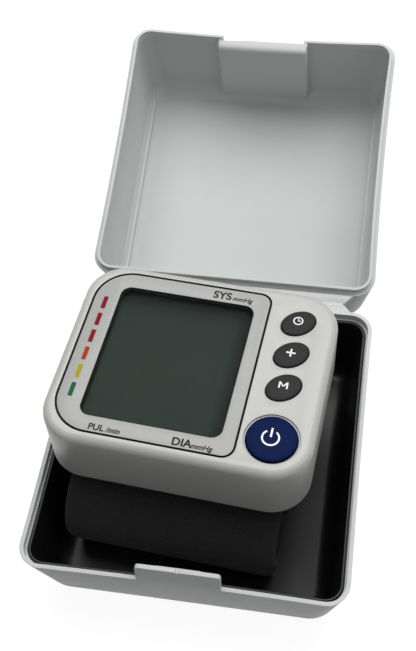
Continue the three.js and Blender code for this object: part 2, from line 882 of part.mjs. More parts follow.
function makeChip() {
  const top = boardBottom - seatGap;
  return prism(centredOutline(chipWidth, chipWidth, chipHeight / 2, chipX, chipY), top - chipHeight, top);
}

function makeSensor() {
  const bottom = boardBottom - seatGap - sensorHeight;
  const half = sensorWidth / 2;
  return block(sensorX - half, sensorX + half, sensorY - half, sensorY + half, bottom, boardBottom - seatGap)
    .add(cylinder(nozzleRadius, bottom - nozzleLength, bottom + clearance, sensorX, sensorY, smallSteps));
}

function makeBuzzer() {
  const top = boardBottom - seatGap;
  return cylinder(buzzerRadius, top - buzzerHeight, top, buzzerX, buzzerY);
}

// Batteries: two cells side by side along Y, head to tail, in a tray that is open towards the door

function makeCell(x, heading) {
  const half = cellLength / 2;
  const bodyEnd = half - cellNubHeight;
  const can = cylinderAlongY(cellRadius, -half, bodyEnd, x, -cellDepth);
  const nub = cylinderAlongY(cellNubRadius, bodyEnd - overrun, half, x, -cellDepth, smallSteps);
  const cell = can.add(nub);
  if (heading > 0) return cell.translate([0, cellShift, 0]);
  return cell.mirror([0, 1, 0]).translate([0, -cellShift, 0]);
}

function makeTray() {
  const outer = block(trayLeft, trayRight, -trayHalfLength, trayHalfLength, trayFloor - trayWall, trayTop)
    .intersect(prism(bodyOutline(bodyWall + clearance), trayFloor - 2 * trayWall, trayTop + overrun));
  const inner = block(trayLeft - overrun, trayRight - trayWall, trayWall - trayHalfLength,
    trayHalfLength - trayWall, trayFloor, trayTop + overrun);
  return outer.subtract(inner);
}

function contactPlate(left, right, side) {
  const face = side * (trayHalfLength - trayWall - seatGap);
  const front = Math.min(face, face - side * contactThickness);
  const middle = -cellDepth;
  return block(left, right, front, front + contactThickness, middle - contactReach, middle + contactReach);
}

function contactSpring(x, side) {
  const plate = side * (trayHalfLength - trayWall - 2 * seatGap - contactThickness);
  const cellEnd = side * (cellLength / 2 - cellShift + clearance + springWire / 2);
  const steps = Math.round(springTurns * springTurnSteps);
  const points = [];
  for (let step = 0; step <= steps; step += 1) {
    const share = step / steps;
    const angle = 4 * quarterTurn * springTurns * share;
    const radius = springOuter + (springInner - springOuter) * share;
    points.push(new THREE.Vector3(x + radius * Math.cos(angle), plate + (cellEnd - plate) * share,
      -cellDepth + radius * Math.sin(angle)));
  }
  return tube(points, springWire / 2, springSides, steps);
}

function makeSeriesContact() {
  return contactPlate(outerCellX - cellNubRadius, innerCellX + cellNubRadius, -1)
    .add(contactSpring(outerCellX, -1));
}

function makePlusContact() {
  return contactPlate(outerCellX - cellNubRadius, outerCellX + cellNubRadius, 1);
}

function makeMinusContact() {
  return contactPlate(innerCellX - cellNubRadius, innerCellX + cellNubRadius, 1)
    .add(contactSpring(innerCellX, 1));
}

// Pump, valve, manifold and hoses under the board

function makeMotor() {
  const flats = block(pumpX - bodyWidth, pumpX + bodyWidth, -bodyLength, bodyLength,
    -pumpDepth - motorFlat, -pumpDepth + motorFlat);
  return cylinderAlongY(motorRadius, motorFront, motorBack, pumpX, -pumpDepth).intersect(flats);
}

function makePumpHead() {
  const outline = centredOutline(pumpHeadWidth, pumpHeadHeight, motorRadius / 2);
  const head = { depth: pumpHeadLength, bevelEnabled: false };
  const geometry = new THREE.ExtrudeGeometry(new THREE.Shape(outline), head);
  geometry.rotateX(quarterTurn).translate(pumpX, headBack, -pumpDepth);
  const nozzle = cylinderAlongY(nozzleRadius, headBack - clearance, headBack + nozzleLength, pumpX,
    -pumpDepth, smallSteps);
  return toSolid(geometry).add(nozzle);
}

function makeValve() {
  const half = valveWidth / 2;
  const body = block(valveX - half, valveX + half, valveFront, valveFront + valveLength,
    valveZ - valveHeight / 2, valveZ + valveHeight / 2);
  const nozzle = cylinderAlongY(nozzleRadius, valveFront - nozzleLength, valveFront + clearance, valveX,
    valveZ, smallSteps);
  return body.add(nozzle);
}

function makeManifold() {
  const along = cylinderAlongY(manifoldRadius, manifoldY - manifoldArm, manifoldY + manifoldArm, manifoldX,
    manifoldZ, smallSteps);
  const across = new THREE.CylinderGeometry(manifoldRadius, manifoldRadius, 2 * manifoldArm, smallSteps);
  across.rotateZ(quarterTurn).translate(manifoldX, manifoldY, manifoldZ);
  return along.add(toSolid(across));
}

const right = new THREE.Vector3(1, 0, 0);
const ahead = new THREE.Vector3(0, 1, 0);
const up = new THREE.Vector3(0, 0, 1);

// A point on a hose's way, some shares of the hose's radius off a place that it passes
function beside(x, y, z, radiusShares) {
  const [shareX, shareY, shareZ] = radiusShares;
  return new THREE.Vector3(x + shareX * hoseRadius, y + shareY * hoseRadius, z + shareZ * hoseRadius);
}

const hoseFloor = rearFloor + hoseRadius + hoseFloorGap;
const hoseRoutes = {
  pump_hose: {
    from: new THREE.Vector3(pumpX, headBack + nozzleLength + clearance, -pumpDepth),
    leaving: ahead,
    via: [
      beside(pumpX, headBack + nozzleLength, -pumpDepth, [-0.4, 3.6, -2]),
      beside(valveX, valveFront + valveLength / 2, hoseFloor, [0.7, 0, 0]),
      beside(manifoldX, manifoldY + manifoldArm, hoseFloor, [2, 3.5, 0.5]),
    ],
    to: new THREE.Vector3(manifoldX, manifoldY + manifoldArm + clearance, manifoldZ),
    arriving: ahead,
  },
  valve_hose: {
    from: new THREE.Vector3(valveX, valveFront - nozzleLength - clearance, valveZ),
    leaving: ahead.clone().negate(),
    via: [beside(valveX, manifoldY, manifoldZ, [-0.4, -1, 1])],
    to: new THREE.Vector3(manifoldX + manifoldArm + clearance, manifoldY, manifoldZ),
    arriving: right,
  },
  sensor_hose: {
    from: new THREE.Vector3(sensorX, sensorY, sensorNozzleEnd - clearance),
    leaving: up.clone().negate(),
    via: [
      beside(sensorX, sensorY, manifoldZ, [-0.4, 2.3, -0.1]),
      beside(manifoldX, (sensorY + manifoldY) / 2, manifoldZ, [0.7, -0.6, -0.2]),
    ],
    to: new THREE.Vector3(manifoldX, manifoldY - manifoldArm - clearance, manifoldZ),
    arriving: ahead.clone().negate(),
  },
  cuff_hose: {
    from: new THREE.Vector3(manifoldX - manifoldArm - clearance, manifoldY, manifoldZ),
    leaving: right.clone().negate(),
    via: [
      beside(portX, manifoldY, manifoldZ, [-2.4, -1.7, 0.8]),
      beside(portX, portY, manifoldZ, [-1.7, 2, 1.5]),
    ],
    to: new THREE.Vector3(portX, portY, portTop + clearance),
    arriving: up,
  },
};

function makeHose({ from, leaving, via, to, arriving }) {
  const points = [from, from.clone().addScaledVector(leaving, hoseLead), ...via,
    to.clone().addScaledVector(arriving, hoseLead), to];
  return tube(points, hoseRadius, hoseSides, hoseSteps);
}

// Cuff: every layer is an offset of one path in the plane across the wrist, and is as wide as it is named

function fromLevel(y, height) {
  return new THREE.Vector2(y, height).rotateAround(new THREE.Vector2(), tilt);
}

const cuffCorners = [
  { point: fromLevel(innerEndY, tailHeight + lapRise), radius: 0 },
  { point: fromLevel(cuffBack, tailHeight + lapRise), radius: cuffBackRadius },
  { point: new THREE.Vector2(cuffBack, cuffTop), radius: cuffBackRadius },
  { point: new THREE.Vector2(cuffFront, cuffTop), radius: cuffFrontRadius },
  { point: fromLevel(cuffFront, tailHeight), radius: cuffFrontRadius },
  { point: fromLevel(tailEndY, tailHeight), radius: 0 },
];

// Offsets a corner towards the inside of the loop, which is on the left of the way the path runs
function insetCorner(index, inset) {
  const { point, radius } = cuffCorners[index];
  const before = cuffCorners[Math.max(index - 1, 0)].point;
  const after = cuffCorners[Math.min(index + 1, cuffCorners.length - 1)].point;
  const into = index === 0 ? after.clone().sub(point) : point.clone().sub(before);
  const out = index === cuffCorners.length - 1 ? into : after.clone().sub(point);
  into.normalize();
  const leaving = out.clone().normalize();
  const normal = new THREE.Vector2(-into.y, into.x).add(new THREE.Vector2(-leaving.y, leaving.x));
  normal.multiplyScalar(inset / (1 + into.dot(leaving)));
  return { point: point.clone().add(normal), into, leaving, radius: Math.max(radius - inset, 0) };
}

// The stretch runs from one share of the path to another, where each corner counts one
function cuffLine(inset, from, to) {
  const points = [];
  for (let index = from; index <= to; index += 1) {
    const { point, into, leaving, radius } = insetCorner(index, inset);
    if (radius === 0) {
      points.push(point);
      continue;
    }
    const turn = Math.acos(THREE.MathUtils.clamp(into.dot(leaving), -1, 1));
    const reach = radius * Math.tan(turn / 2);
    const start = point.clone().addScaledVector(into, -reach);
    if (index === from || index === to) {
      points.push(index === to ? start : point.clone().addScaledVector(leaving, reach));
      continue;
    }
    const centre = start.clone().add(new THREE.Vector2(-into.y, into.x).multiplyScalar(radius));
    for (let step = 0; step <= cuffArcSteps; step += 1) {
      points.push(start.clone().rotateAround(centre, turn * step / cuffArcSteps));
    }
  }
  return points;
}

// A layer may stop short of the corners that it runs between, by a share of its first and last straight
function cuffLayer(outerInset, thickness, width, from, to, startShare = 0, endShare = 0) {
  const outer = cuffLine(outerInset, from, to);
  const inner = cuffLine(outerInset + thickness, from, to);
  for (const line of [outer, inner]) {
    const last = line.length - 1;
    line[0].lerp(line[1], startShare);
    line[last].lerp(line[last - 1], endShare);
  }
  return sideways([...outer, ...inner.reverse()], width);
}

// Turns an outline in the plane across the wrist into a solid of that width along X
function sideways(points, width) {
  const geometry = new THREE.ExtrudeGeometry(new THREE.Shape(points), { depth: width, bevelEnabled: false });
  geometry.rotateX(quarterTurn).rotateZ(quarterTurn).translate(-width / 2, 0, 0);
  return toSolid(geometry);
}

function pierce(solid, low) {
  const port = cylinder(portRadius + clearance, low, cuffTop + overrun, portX, portY, smallSteps);
  let pierced = solid.subtract(port);
  for (const { x, y } of rivetPlaces) {
    pierced = pierced.subtract(cylinder(rivetRadius + clearance, low, cuffTop + overrun, x, y, smallSteps));
  }
  return pierced;
}

function makeBand() {
  return pierce(cuffLayer(0, bandThickness, cuffWidth, 0, 5), cuffTop - bandThickness - overrun / 2);
}

function makeStiffener() {
  return pierce(cuffLayer(stiffenerInset, stiffenerThickness, stiffenerWidth, 1, 4),
    stiffenerBottom - overrun / 2);
}

// The hook patch lies on the tail and the loop patch over it, under the inner end of the band
function makePatch(inset) {
  const low = tailHeight + inset;
  const high = low + patchThickness;
  const front = innerEndY + patchMargin;
  const back = tailEndY - patchMargin;
  const corners = [[front, low], [back, low], [back, high], [front, high]];
  return sideways(corners.map(([y, height]) => fromLevel(y, height)), patchWidth);
}

function makeRivet({ x, y }) {
  const headTop = stiffenerBottom - clearance / 2;
  const foot = rearFloor + clearance;
  const head = cylinder(rivetHeadRadius, headTop - rivetHeadHeight, headTop, x, y, smallSteps);
  const shank = cylinder(rivetRadius, headTop - rivetHeadHeight / 2, foot + rivetHeadHeight / 2, x, y,
    smallSteps);
  return head.add(shank).add(cylinder(rivetHeadRadius, foot, foot + rivetHeadHeight, x, y, smallSteps));
}

function makePort() {
  const seat = rearFloor + clearance;
  return cylinder(portRadius, stiffenerBottom, portTop, portX, portY, smallSteps)
    .add(cylinder(portFlange, seat, seat + clearance + lipWall, portX, portY, smallSteps));
}

// Assembly

const model = new THREE.Group();

model.add(toMesh('case_base', makeBase(), casePlastic));
model.add(toMesh('base_liner', makeLiner(), linerPlastic));

const lidGroup = new THREE.Group();
lidGroup.position.set(0, hingeY, hingeZ);
lidGroup.rotation.x = (180 - lidOpenAngle) * degree;
const lid = toMesh('case_lid', makeLid(), casePlastic);
lid.position.set(0, hingeY, -lidAxisZ);
lidGroup.add(lid);
model.add(lidGroup);

const turnGroup = new THREE.Group();
turnGroup.position.copy(faceCentre);
turnGroup.rotation.z = monitorTurn * degree;
const monitor = new THREE.Group();
monitor.rotation.x = -monitorTilt * degree;
turnGroup.add(monitor);
model.add(turnGroup);

monitor.add(toMesh('front_housing', makeFrontHousing(), housingPlastic));
monitor.add(toMesh('rear_housing', makeRearHousing(), blackPlastic));
monitor.add(toMesh('battery_door', makeBatteryDoor(), housingPlastic));
screwPlaces.forEach((place, index) => {
  monitor.add(toMesh(`housing_screw_${index + 1}`, makeScrew(place), steel));
});
monitor.add(toMesh('display_panel', makePanel(), panelPrint));
monitor.add(toMesh('display_lens', makeLens(), lensPlastic));
monitor.add(toMesh('lcd_display', makeDisplay(), displayGlass));
monitor.add(toMesh('lcd_carrier', makeCarrier(), whitePlastic));
monitor.add(toMesh('zebra_strip', makeStrip(), rubber));
for (const button of buttons) {
  monitor.add(toMesh(`button_${button.label}`, makeButton(button), button.material));
  monitor.add(toMesh(`switch_${button.label}`, makeSwitch(button), steel));
}
monitor.add(toMesh('circuit_board', makeBoard(), boardGreen));
monitor.add(toMesh('control_chip', makeChip(), blackPlastic));
monitor.add(toMesh('buzzer', makeBuzzer(), blackPlastic));
monitor.add(toMesh('pressure_sensor', makeSensor(), whitePlastic));
monitor.add(toMesh('battery_tray', makeTray(), whitePlastic));
monitor.add(toMesh('battery_outer', makeCell(outerCellX, 1), cellJacket));
monitor.add(toMesh('battery_inner', makeCell(innerCellX, -1), cellJacket));
monitor.add(toMesh('series_contact', makeSeriesContact(), steel));
monitor.add(toMesh('plus_contact', makePlusContact(), steel));
monitor.add(toMesh('minus_contact', makeMinusContact(), steel));
monitor.add(toMesh('pump_motor', makeMotor(), steel));
monitor.add(toMesh('pump_head', makePumpHead(), blackPlastic));
monitor.add(toMesh('air_valve', makeValve(), blackPlastic));
monitor.add(toMesh('air_manifold', makeManifold(), whitePlastic));
for (const [name, route] of Object.entries(hoseRoutes)) {
  monitor.add(toMesh(name, makeHose(route), silicone));
}
monitor.add(toMesh('cuff_port', makePort(), whitePlastic));
monitor.add(toMesh('cuff_band', makeBand(), cuffFabric));
monitor.add(toMesh('cuff_stiffener', makeStiffener(), blackPlastic));
monitor.add(toMesh('cuff_bladder', cuffLayer(bladderInset, bladderThickness, bladderWidth, 1, 4,
  bladderEndShare, bladderEndShare), rubber));
monitor.add(toMesh('cuff_lining', cuffLayer(liningInset, liningThickness, cuffWidth, 0, 5, 0, liningEndShare),
  cuffFabric));
monitor.add(toMesh('hook_patch', makePatch(bandThickness + clearance), blackPlastic));
monitor.add(toMesh('loop_patch', makePatch(bandThickness + patchThickness + 2 * clearance), cuffFabric));
rivetPlaces.forEach((place, index) => {
  monitor.add(toMesh(`cuff_rivet_${index + 1}`, makeRivet(place), blackPlastic));
});

export default model;
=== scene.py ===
import bmesh
import bpy
import math
from mathutils import Matrix, Vector


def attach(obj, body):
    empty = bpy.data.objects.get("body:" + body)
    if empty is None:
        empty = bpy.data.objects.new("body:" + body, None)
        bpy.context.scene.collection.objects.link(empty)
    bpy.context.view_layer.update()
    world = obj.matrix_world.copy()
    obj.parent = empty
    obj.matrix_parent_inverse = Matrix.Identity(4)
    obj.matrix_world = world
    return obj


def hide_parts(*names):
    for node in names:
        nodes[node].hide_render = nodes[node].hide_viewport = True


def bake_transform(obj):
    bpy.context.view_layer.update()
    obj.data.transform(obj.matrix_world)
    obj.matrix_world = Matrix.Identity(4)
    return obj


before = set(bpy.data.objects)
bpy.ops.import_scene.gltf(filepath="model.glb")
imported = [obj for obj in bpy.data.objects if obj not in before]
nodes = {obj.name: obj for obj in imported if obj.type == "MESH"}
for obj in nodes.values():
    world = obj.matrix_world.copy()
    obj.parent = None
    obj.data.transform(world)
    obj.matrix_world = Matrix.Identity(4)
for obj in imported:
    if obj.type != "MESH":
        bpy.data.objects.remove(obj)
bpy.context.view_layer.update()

bpy.ops.object.select_all(action="DESELECT")
MM = 0.001

# Studio. The camera looks down at the open case from its front right corner, as the photograph does.
# One broad lamp hangs over the lid, so the walls that face the camera stay in soft shade.

camera_place = (36.39, -125.64, 289.97)
camera_turn = (32.25, 3.44, 8.8)
camera_lens = 56.717
bpy.ops.object.camera_add(
    location=[value * MM for value in camera_place],
    rotation=[math.radians(value) for value in camera_turn],
)
camera = bpy.context.object
camera.data.lens = camera_lens
camera.data.sensor_width = 36
camera.data.clip_start = 0.01
bpy.context.scene.camera = camera
bpy.context.scene.view_settings.view_transform = "Standard"


def hang_lamp(name, place, aim, size, power):
    bpy.ops.object.light_add(type="AREA", location=place)
    lamp = bpy.context.object
    lamp.name = name
    lamp.rotation_euler = (Vector(aim) - Vector(place)).to_track_quat("-Z", "Y").to_euler()
    lamp.data.shape = "RECTANGLE"
    lamp.data.size, lamp.data.size_y = size
    lamp.data.energy = power


hang_lamp("overhead_lamp", place=(0.02, 0.35, 0.78), aim=(0, 0.06, 0), size=(0.9, 0.7), power=7.6)
hang_lamp("side_lamp", place=(0.60, -0.02, 0.35), aim=(0, 0.06, 0.03), size=(0.4, 0.4), power=0.8)


def feed(tree, node, inputs):
    """Gives each of a node's inputs a value, or links it to another node's socket."""
    for label, value in inputs.items():
        if isinstance(value, bpy.types.NodeSocket):
            tree.links.new(value, node.inputs[label])
        else:
            node.inputs[label].default_value = value


def add_node(tree, kind, inputs=None, **settings):
    """Adds a node with these inputs; settings are its other properties."""
    node = tree.nodes.new(kind)
    for label, value in settings.items():
        setattr(node, label, value)
    feed(tree, node, inputs or {})
    return node


def calculate(tree, operation, first, second=0):
    """A sum of one or two values or sockets."""
    return add_node(tree, "ShaderNodeMath", {0: first, 1: second}, operation=operation).outputs[0]


def mix_by_sight(tree, unseen, seen):
    """Shows one shader to the camera, also in reflections and through glass, and the other to the light."""
    ray = add_node(tree, "ShaderNodeLightPath").outputs
    sight = calculate(tree, "MAXIMUM", ray["Is Camera Ray"], ray["Is Glossy Ray"])
    sight = calculate(tree, "MAXIMUM", sight, ray["Is Transmission Ray"])
    inputs = {0: sight, 1: unseen.outputs[0], 2: seen.outputs[0]}
    return add_node(tree, "ShaderNodeMixShader", inputs).outputs[0]


studio_grey = 0.32
world = bpy.data.worlds.new("studio")
bpy.context.scene.world = world
world.use_nodes = True
tree = world.node_tree
room_light = tree.nodes["Background"]
feed(tree, room_light, {"Color": (studio_grey, studio_grey, studio_grey, 1)})
white_wall = add_node(tree, "ShaderNodeBackground", {"Color": (1, 1, 1, 1)})
feed(tree, tree.nodes["World Output"], {"Surface": mix_by_sight(tree, room_light, white_wall)})

# The table is lit and shaded like a matt grey board, and the camera sees it white but for its shadows
table_grey = 0.14
table_glow = 0.92
bpy.ops.mesh.primitive_plane_add(size=6, location=(0, 0, 0))
table = bpy.context.object
table.name = "table_top"
table_paint = bpy.data.materials.new("table_paint")
table_paint.use_nodes = True
tree = table_paint.node_tree
tree.nodes.remove(tree.nodes["Principled BSDF"])
matt = add_node(tree, "ShaderNodeBsdfDiffuse", {"Color": (table_grey, table_grey, table_grey, 1)})
glow = add_node(tree, "ShaderNodeEmission", {"Strength": table_glow})
dark = add_node(tree, "ShaderNodeEmission", {"Strength": 0})
both = add_node(tree, "ShaderNodeAddShader", {0: matt.outputs[0], 1: mix_by_sight(tree, dark, glow)})
feed(tree, tree.nodes["Material Output"], {"Surface": both.outputs[0]})
table.data.materials.append(table_paint)

# Base of the storage case. A tub injection-moulded in light grey polypropylene: it leans out from its
# round-edged floor to a plain narrow rim. A latch tongue leans in over the front wall, and a thin flange
# behind runs to the living hinge. Its long walls have drawn in a little as they cooled.

case_width = 89
case_depth = 90.2
base_height = 28.2
base_lean = 3.6
rim_corner = 6.5
floor_corner = 8
floor_fillet = 6.2
corner_steps = 12
fillet_steps = 8
base_rim = 1.1
base_rim_depth = 2.4
shell_wall = 1.2
floor_wall = 1.5


def choose(piece):
    """Makes a piece the active one and the only one selected."""
    bpy.ops.object.select_all(action="DESELECT")
    bpy.context.view_layer.objects.active = piece
    piece.select_set(True)


def edit(piece):
    """Enters edit mode with all of the piece selected."""
    choose(piece)
    bpy.ops.object.mode_set(mode="EDIT")
    bpy.ops.mesh.select_all(action="SELECT")


def done():
    bpy.ops.object.mode_set(mode="OBJECT")


def pick(kind, test):
    """In edit mode, selects the vertices, edges or faces that pass the test."""
    bpy.ops.mesh.select_mode(type=kind)
    bpy.ops.mesh.select_all(action="DESELECT")
    mesh = bmesh.from_edit_mesh(bpy.context.object.data)
    group = {"VERT": mesh.verts, "EDGE": mesh.edges, "FACE": mesh.faces}[kind]
    for part in group:
        if test(part):
            part.select_set(True)
    mesh.select_flush_mode()
    bmesh.update_edit_mesh(bpy.context.object.data)


def at_level(level):
    """A test for edges or faces whose corners all lie at one height, in millimetres."""
    return lambda part: all(abs(v.co.z / MM - level) < 0.01 for v in part.verts)


def set_size(name, width, depth, height=1):
    """Names the unit shape just added and gives it its size."""
    piece = bpy.context.object
    piece.name = name
    piece.scale = (width, depth, height)
    bpy.ops.object.transform_apply(location=True, rotation=True, scale=True)
    return piece


def bevel(width, steps, kind="EDGES"):
    """In edit mode, rounds the chosen edges, or the chosen corners of a plate."""
    bpy.ops.mesh.bevel(offset=width * MM, segments=steps, affect=kind)


def lay_plate(name, width, depth, level, corner, x=0, y=0, steps=corner_steps):
    """A flat plate with round corners."""
    bpy.ops.mesh.primitive_plane_add(size=MM, location=(x * MM, y * MM, level * MM))
    plate = set_size(name, width, depth)
    if corner:
        edit(plate)
        bevel(corner, steps, "VERTICES")
        done()
    return plate


def pull(height, sideways=0):
    """In edit mode, extrudes what is selected upwards or along X, in millimetres."""
    bpy.ops.mesh.extrude_region_move(TRANSFORM_OT_translate={"value": (sideways * MM, 0, height * MM)})


def face_out():
    """In edit mode, turns all faces outwards."""
    bpy.ops.mesh.select_all(action="SELECT")
    bpy.ops.mesh.normals_make_consistent(inside=False)


def cut_across(mesh, place, normal):
    """In edit mode, cuts the mesh along a plane and keeps both sides."""
    bmesh.ops.bisect_plane(mesh, geom=mesh.verts[:] + mesh.edges[:] + mesh.faces[:],
                           plane_co=place, plane_no=normal)


def merge(name, *pieces):
    """Joins pieces into one mesh that keeps the first one's place."""
    choose(pieces[0])
    for piece in pieces[1:]:
        piece.select_set(True)
    bpy.ops.object.join()
    pieces[0].name = name
    return pieces[0]


def mould_block(name, low, high, fillet):
    """A solid between two plates with the case's outline, and with a round lower edge.

    Each plate is given by its level, how far it is set in all round, and its corner radius."""
    block = merge(name, *[
        lay_plate(name, case_width - 2 * inset, case_depth - 2 * inset, level, corner)
        for level, inset, corner in (low, high)
    ])
    edit(block)
    bpy.ops.mesh.delete(type="ONLY_FACE")
    bpy.ops.mesh.select_mode(type="EDGE")
    bpy.ops.mesh.select_all(action="SELECT")
    bpy.ops.mesh.bridge_edge_loops()
    for level, _, _ in (low, high):
        pick("EDGE", at_level(level))
        bpy.ops.mesh.edge_face_add()
    face_out()
    pick("EDGE", at_level(low[0]))
    bevel(fillet, fillet_steps)
    done()
    return block


def step_in(width):
    """In edit mode, insets the chosen face by a width in millimetres."""
    bpy.ops.mesh.inset(thickness=width * MM, depth=0, use_even_offset=True)


def modify(piece, kind, **settings):
    """Adds a modifier with these settings and applies it."""
    change = piece.modifiers.new(kind, kind)
    for label, value in settings.items():
        setattr(change, label, value)
    choose(piece)
    bpy.ops.object.modifier_apply(modifier=change.name)


def combine(piece, tool, operation):
    """Adds a tool's solid to a piece, or cuts it away, and removes the tool."""
    modify(piece, "BOOLEAN", operation=operation, solver="EXACT", object=tool)
    bpy.data.objects.remove(tool)


def soften(piece, width, steps=2, degrees=40):
    """Rounds the sharp edges of a finished shape."""
    modify(piece, "BEVEL", width=width * MM, segments=steps, limit_method="ANGLE",
           angle_limit=math.radians(degrees))


def sink_well(level, opening, wall_inset, floor, floor_inset):
    """Hollows a tub below the opening inside its rim: out to the walls, down, and in again to the floor.

    The opening and the two insets are counted from the case's outline."""
    width = case_width - 2 * wall_inset
    depth = case_depth - 2 * wall_inset
    pick("FACE", lambda face: at_level(level)(face) and face.normal.z > 0.9)
    bpy.ops.mesh.extrude_region_move()
    widening = (width / (case_width - 2 * opening), depth / (case_depth - 2 * opening), 1)
    bpy.ops.transform.resize(value=widening, center_override=(0, 0, level * MM))
    pull(floor - level)
    taper = floor_inset - wall_inset
    bpy.ops.transform.resize(value=(1 - 2 * taper / width, 1 - 2 * taper / depth, 1),
                             center_override=(0, 0, floor * MM))


def draw_in(tub, height, left, right, front, back):
    """Bows a tub's walls inward, most at the middle of the rim and not at all at the corners and floor."""
    wall_zone = 9
    still_corner = 3
    edit(tub)
    mesh = bmesh.from_edit_mesh(tub.data)
    for step in range(-3, 4):
        for normal, half in (((1, 0, 0), case_width / 2), ((0, 1, 0), case_depth / 2)):
            cut_across(mesh, Vector(normal) * (half - rim_corner) * step / 4 * MM, normal)
    for vert in mesh.verts:
        x, y, z = vert.co / MM
        rise = max(z / height, 0)
        along_x = max(1 - (x / (case_width / 2 - still_corner)) ** 2, 0) * rise
        along_y = max(1 - (y / (case_depth / 2 - still_corner)) ** 2, 0) * rise
        if abs(x) > case_width / 2 - wall_zone:
            vert.co.x -= math.copysign((right if x > 0 else left) * along_y, x) * MM
        if abs(y) > case_depth / 2 - wall_zone:
            vert.co.y -= math.copysign((back if y > 0 else front) * along_x, y) * MM
    bmesh.update_edit_mesh(tub.data)
    done()


def paint(red, green, blue):
    """A colour as it looks on a screen, 0 to 255, as the shader's own numbers."""
    shares = [value / 255 for value in (red, green, blue)]
    linear = [share / 12.92 if share < 0.04045 else ((share + 0.055) / 1.055) ** 2.4 for share in shares]
    return (*linear, 1)


def noise(tree, scale, detail=3, roughness=0.5):
    """Noise that stays with the piece; scale is a number or a socket."""
    place = add_node(tree, "ShaderNodeTexCoord").outputs["Object"]
    return add_node(tree, "ShaderNodeTexNoise", {
        "Vector": place, "Scale": scale, "Detail": detail, "Roughness": roughness,
    }).outputs["Fac"]


def spread(tree, value, low, high, to_low, to_high):
    """Maps a value from one range to another."""
    return add_node(tree, "ShaderNodeMapRange", {
        "Value": value, "From Min": low, "From Max": high, "To Min": to_low, "To Max": to_high,
    }).outputs["Result"]


def blend_colour(tree, amount, first, second):
    """The first colour where the amount is 0, and the second where it is 1."""
    return add_node(tree, "ShaderNodeMix", {0: amount, 6: first, 7: second}, data_type="RGBA").outputs[2]


def raise_surface(tree, height, strength, distance):
    return add_node(tree, "ShaderNodeBump", {
        "Height": height, "Strength": strength, "Distance": distance,
    }).outputs["Normal"]


def add_skin(name, inputs):
    """An empty shader group that gives a colour, a roughness and a normal.

    Its inputs are colours, given as tuples, and numbers, given as floats."""
    tree = bpy.data.node_groups.new(name, "ShaderNodeTree")
    for label, value in inputs.items():
        kind = "NodeSocketColor" if isinstance(value, tuple) else "NodeSocketFloat"
        tree.interface.new_socket(label, in_out="INPUT", socket_type=kind).default_value = value
    for label, kind in (("Colour", "Color"), ("Roughness", "Float"), ("Normal", "Vector")):
        tree.interface.new_socket(label, in_out="OUTPUT", socket_type="NodeSocket" + kind)
    return tree, tree.nodes.new("NodeGroupInput").outputs, tree.nodes.new("NodeGroupOutput")


# Moulded plastic: faint cloudiness in colour and gloss over a fine spark-eroded grain
tree, given, result = add_skin("moulded_skin", {
    "Colour": (0.5, 0.5, 0.5, 1), "Cloud colour": (0.4, 0.4, 0.4, 1), "Clouding": 0.3,
    "Grain size": 3000.0, "Grain depth": 0.2, "Roughness": 0.4,
})
cloud = spread(tree, noise(tree, 38, 4, 0.6), 0.35, 0.75, 0, 1)
cloud = calculate(tree, "MULTIPLY", cloud, given["Clouding"])
gloss = spread(tree, noise(tree, 210, 3), 0.3, 0.7, -0.015, 0.015)
grain = noise(tree, given["Grain size"], 2)
feed(tree, result, {
    "Colour": blend_colour(tree, cloud, given["Colour"], given["Cloud colour"]),
    "Roughness": calculate(tree, "ADD", given["Roughness"], gloss),
    "Normal": raise_surface(tree, grain, given["Grain depth"], 0.1 * MM),
})
moulded_skin = tree


def new_finish(name):
    material = bpy.data.materials.new(name)
    material.use_nodes = True
    return material, material.node_tree, material.node_tree.nodes["Principled BSDF"]


def wear(tree, shader, skin, values):
    """Puts a skin with these values on a finish."""
    layer = add_node(tree, "ShaderNodeGroup", values, node_tree=skin).outputs
    feed(tree, shader, {
        "Base Color": layer["Colour"], "Roughness": layer["Roughness"], "Normal": layer["Normal"],
    })


def moulded(name, colour, cloud_colour, roughness, grain=3000, grain_depth=0.2, clouding=0.4, specular=0.5):
    """A finish of moulded plastic or rubber."""
    material, tree, shader = new_finish(name)
    wear(tree, shader, moulded_skin, {
        "Colour": colour, "Cloud colour": cloud_colour, "Clouding": clouding,
        "Grain size": grain, "Grain depth": grain_depth, "Roughness": roughness,
    })
    feed(tree, shader, {"Specular IOR Level": specular})
    return material


def coat(piece, material):
    piece.data.materials.clear()
    piece.data.materials.append(material)


def finish(piece, material, degrees=35):
    """Coats a piece and shades it smooth, but for its sharper edges."""
    choose(piece)
    bpy.ops.object.shade_smooth_by_angle(angle=math.radians(degrees))
    coat(piece, material)


case_plastic = moulded("case_polypropylene", paint(190, 193, 192), paint(182, 185, 184), 0.42, specular=0.2)
base = mould_block("case_base_shell", (0, base_lean, floor_corner), (base_height, 0, rim_corner),
                   floor_fillet)
edit(base)
pick("FACE", at_level(base_height))
step_in(base_rim)
pull(-base_rim_depth)
sink_well(base_height - base_rim_depth, base_rim, base_lean * base_rim_depth / base_height + shell_wall,
          floor_wall, base_lean + shell_wall)
done()


def lay_block(name, left, right, front, back, low, high):
    """A plain block by its six sides."""
    bpy.ops.mesh.primitive_cube_add(
        size=MM, location=((left + right) / 2 * MM, (front + back) / 2 * MM, (low + high) / 2 * MM))
    return set_size(name, right - left, back - front, high - low)


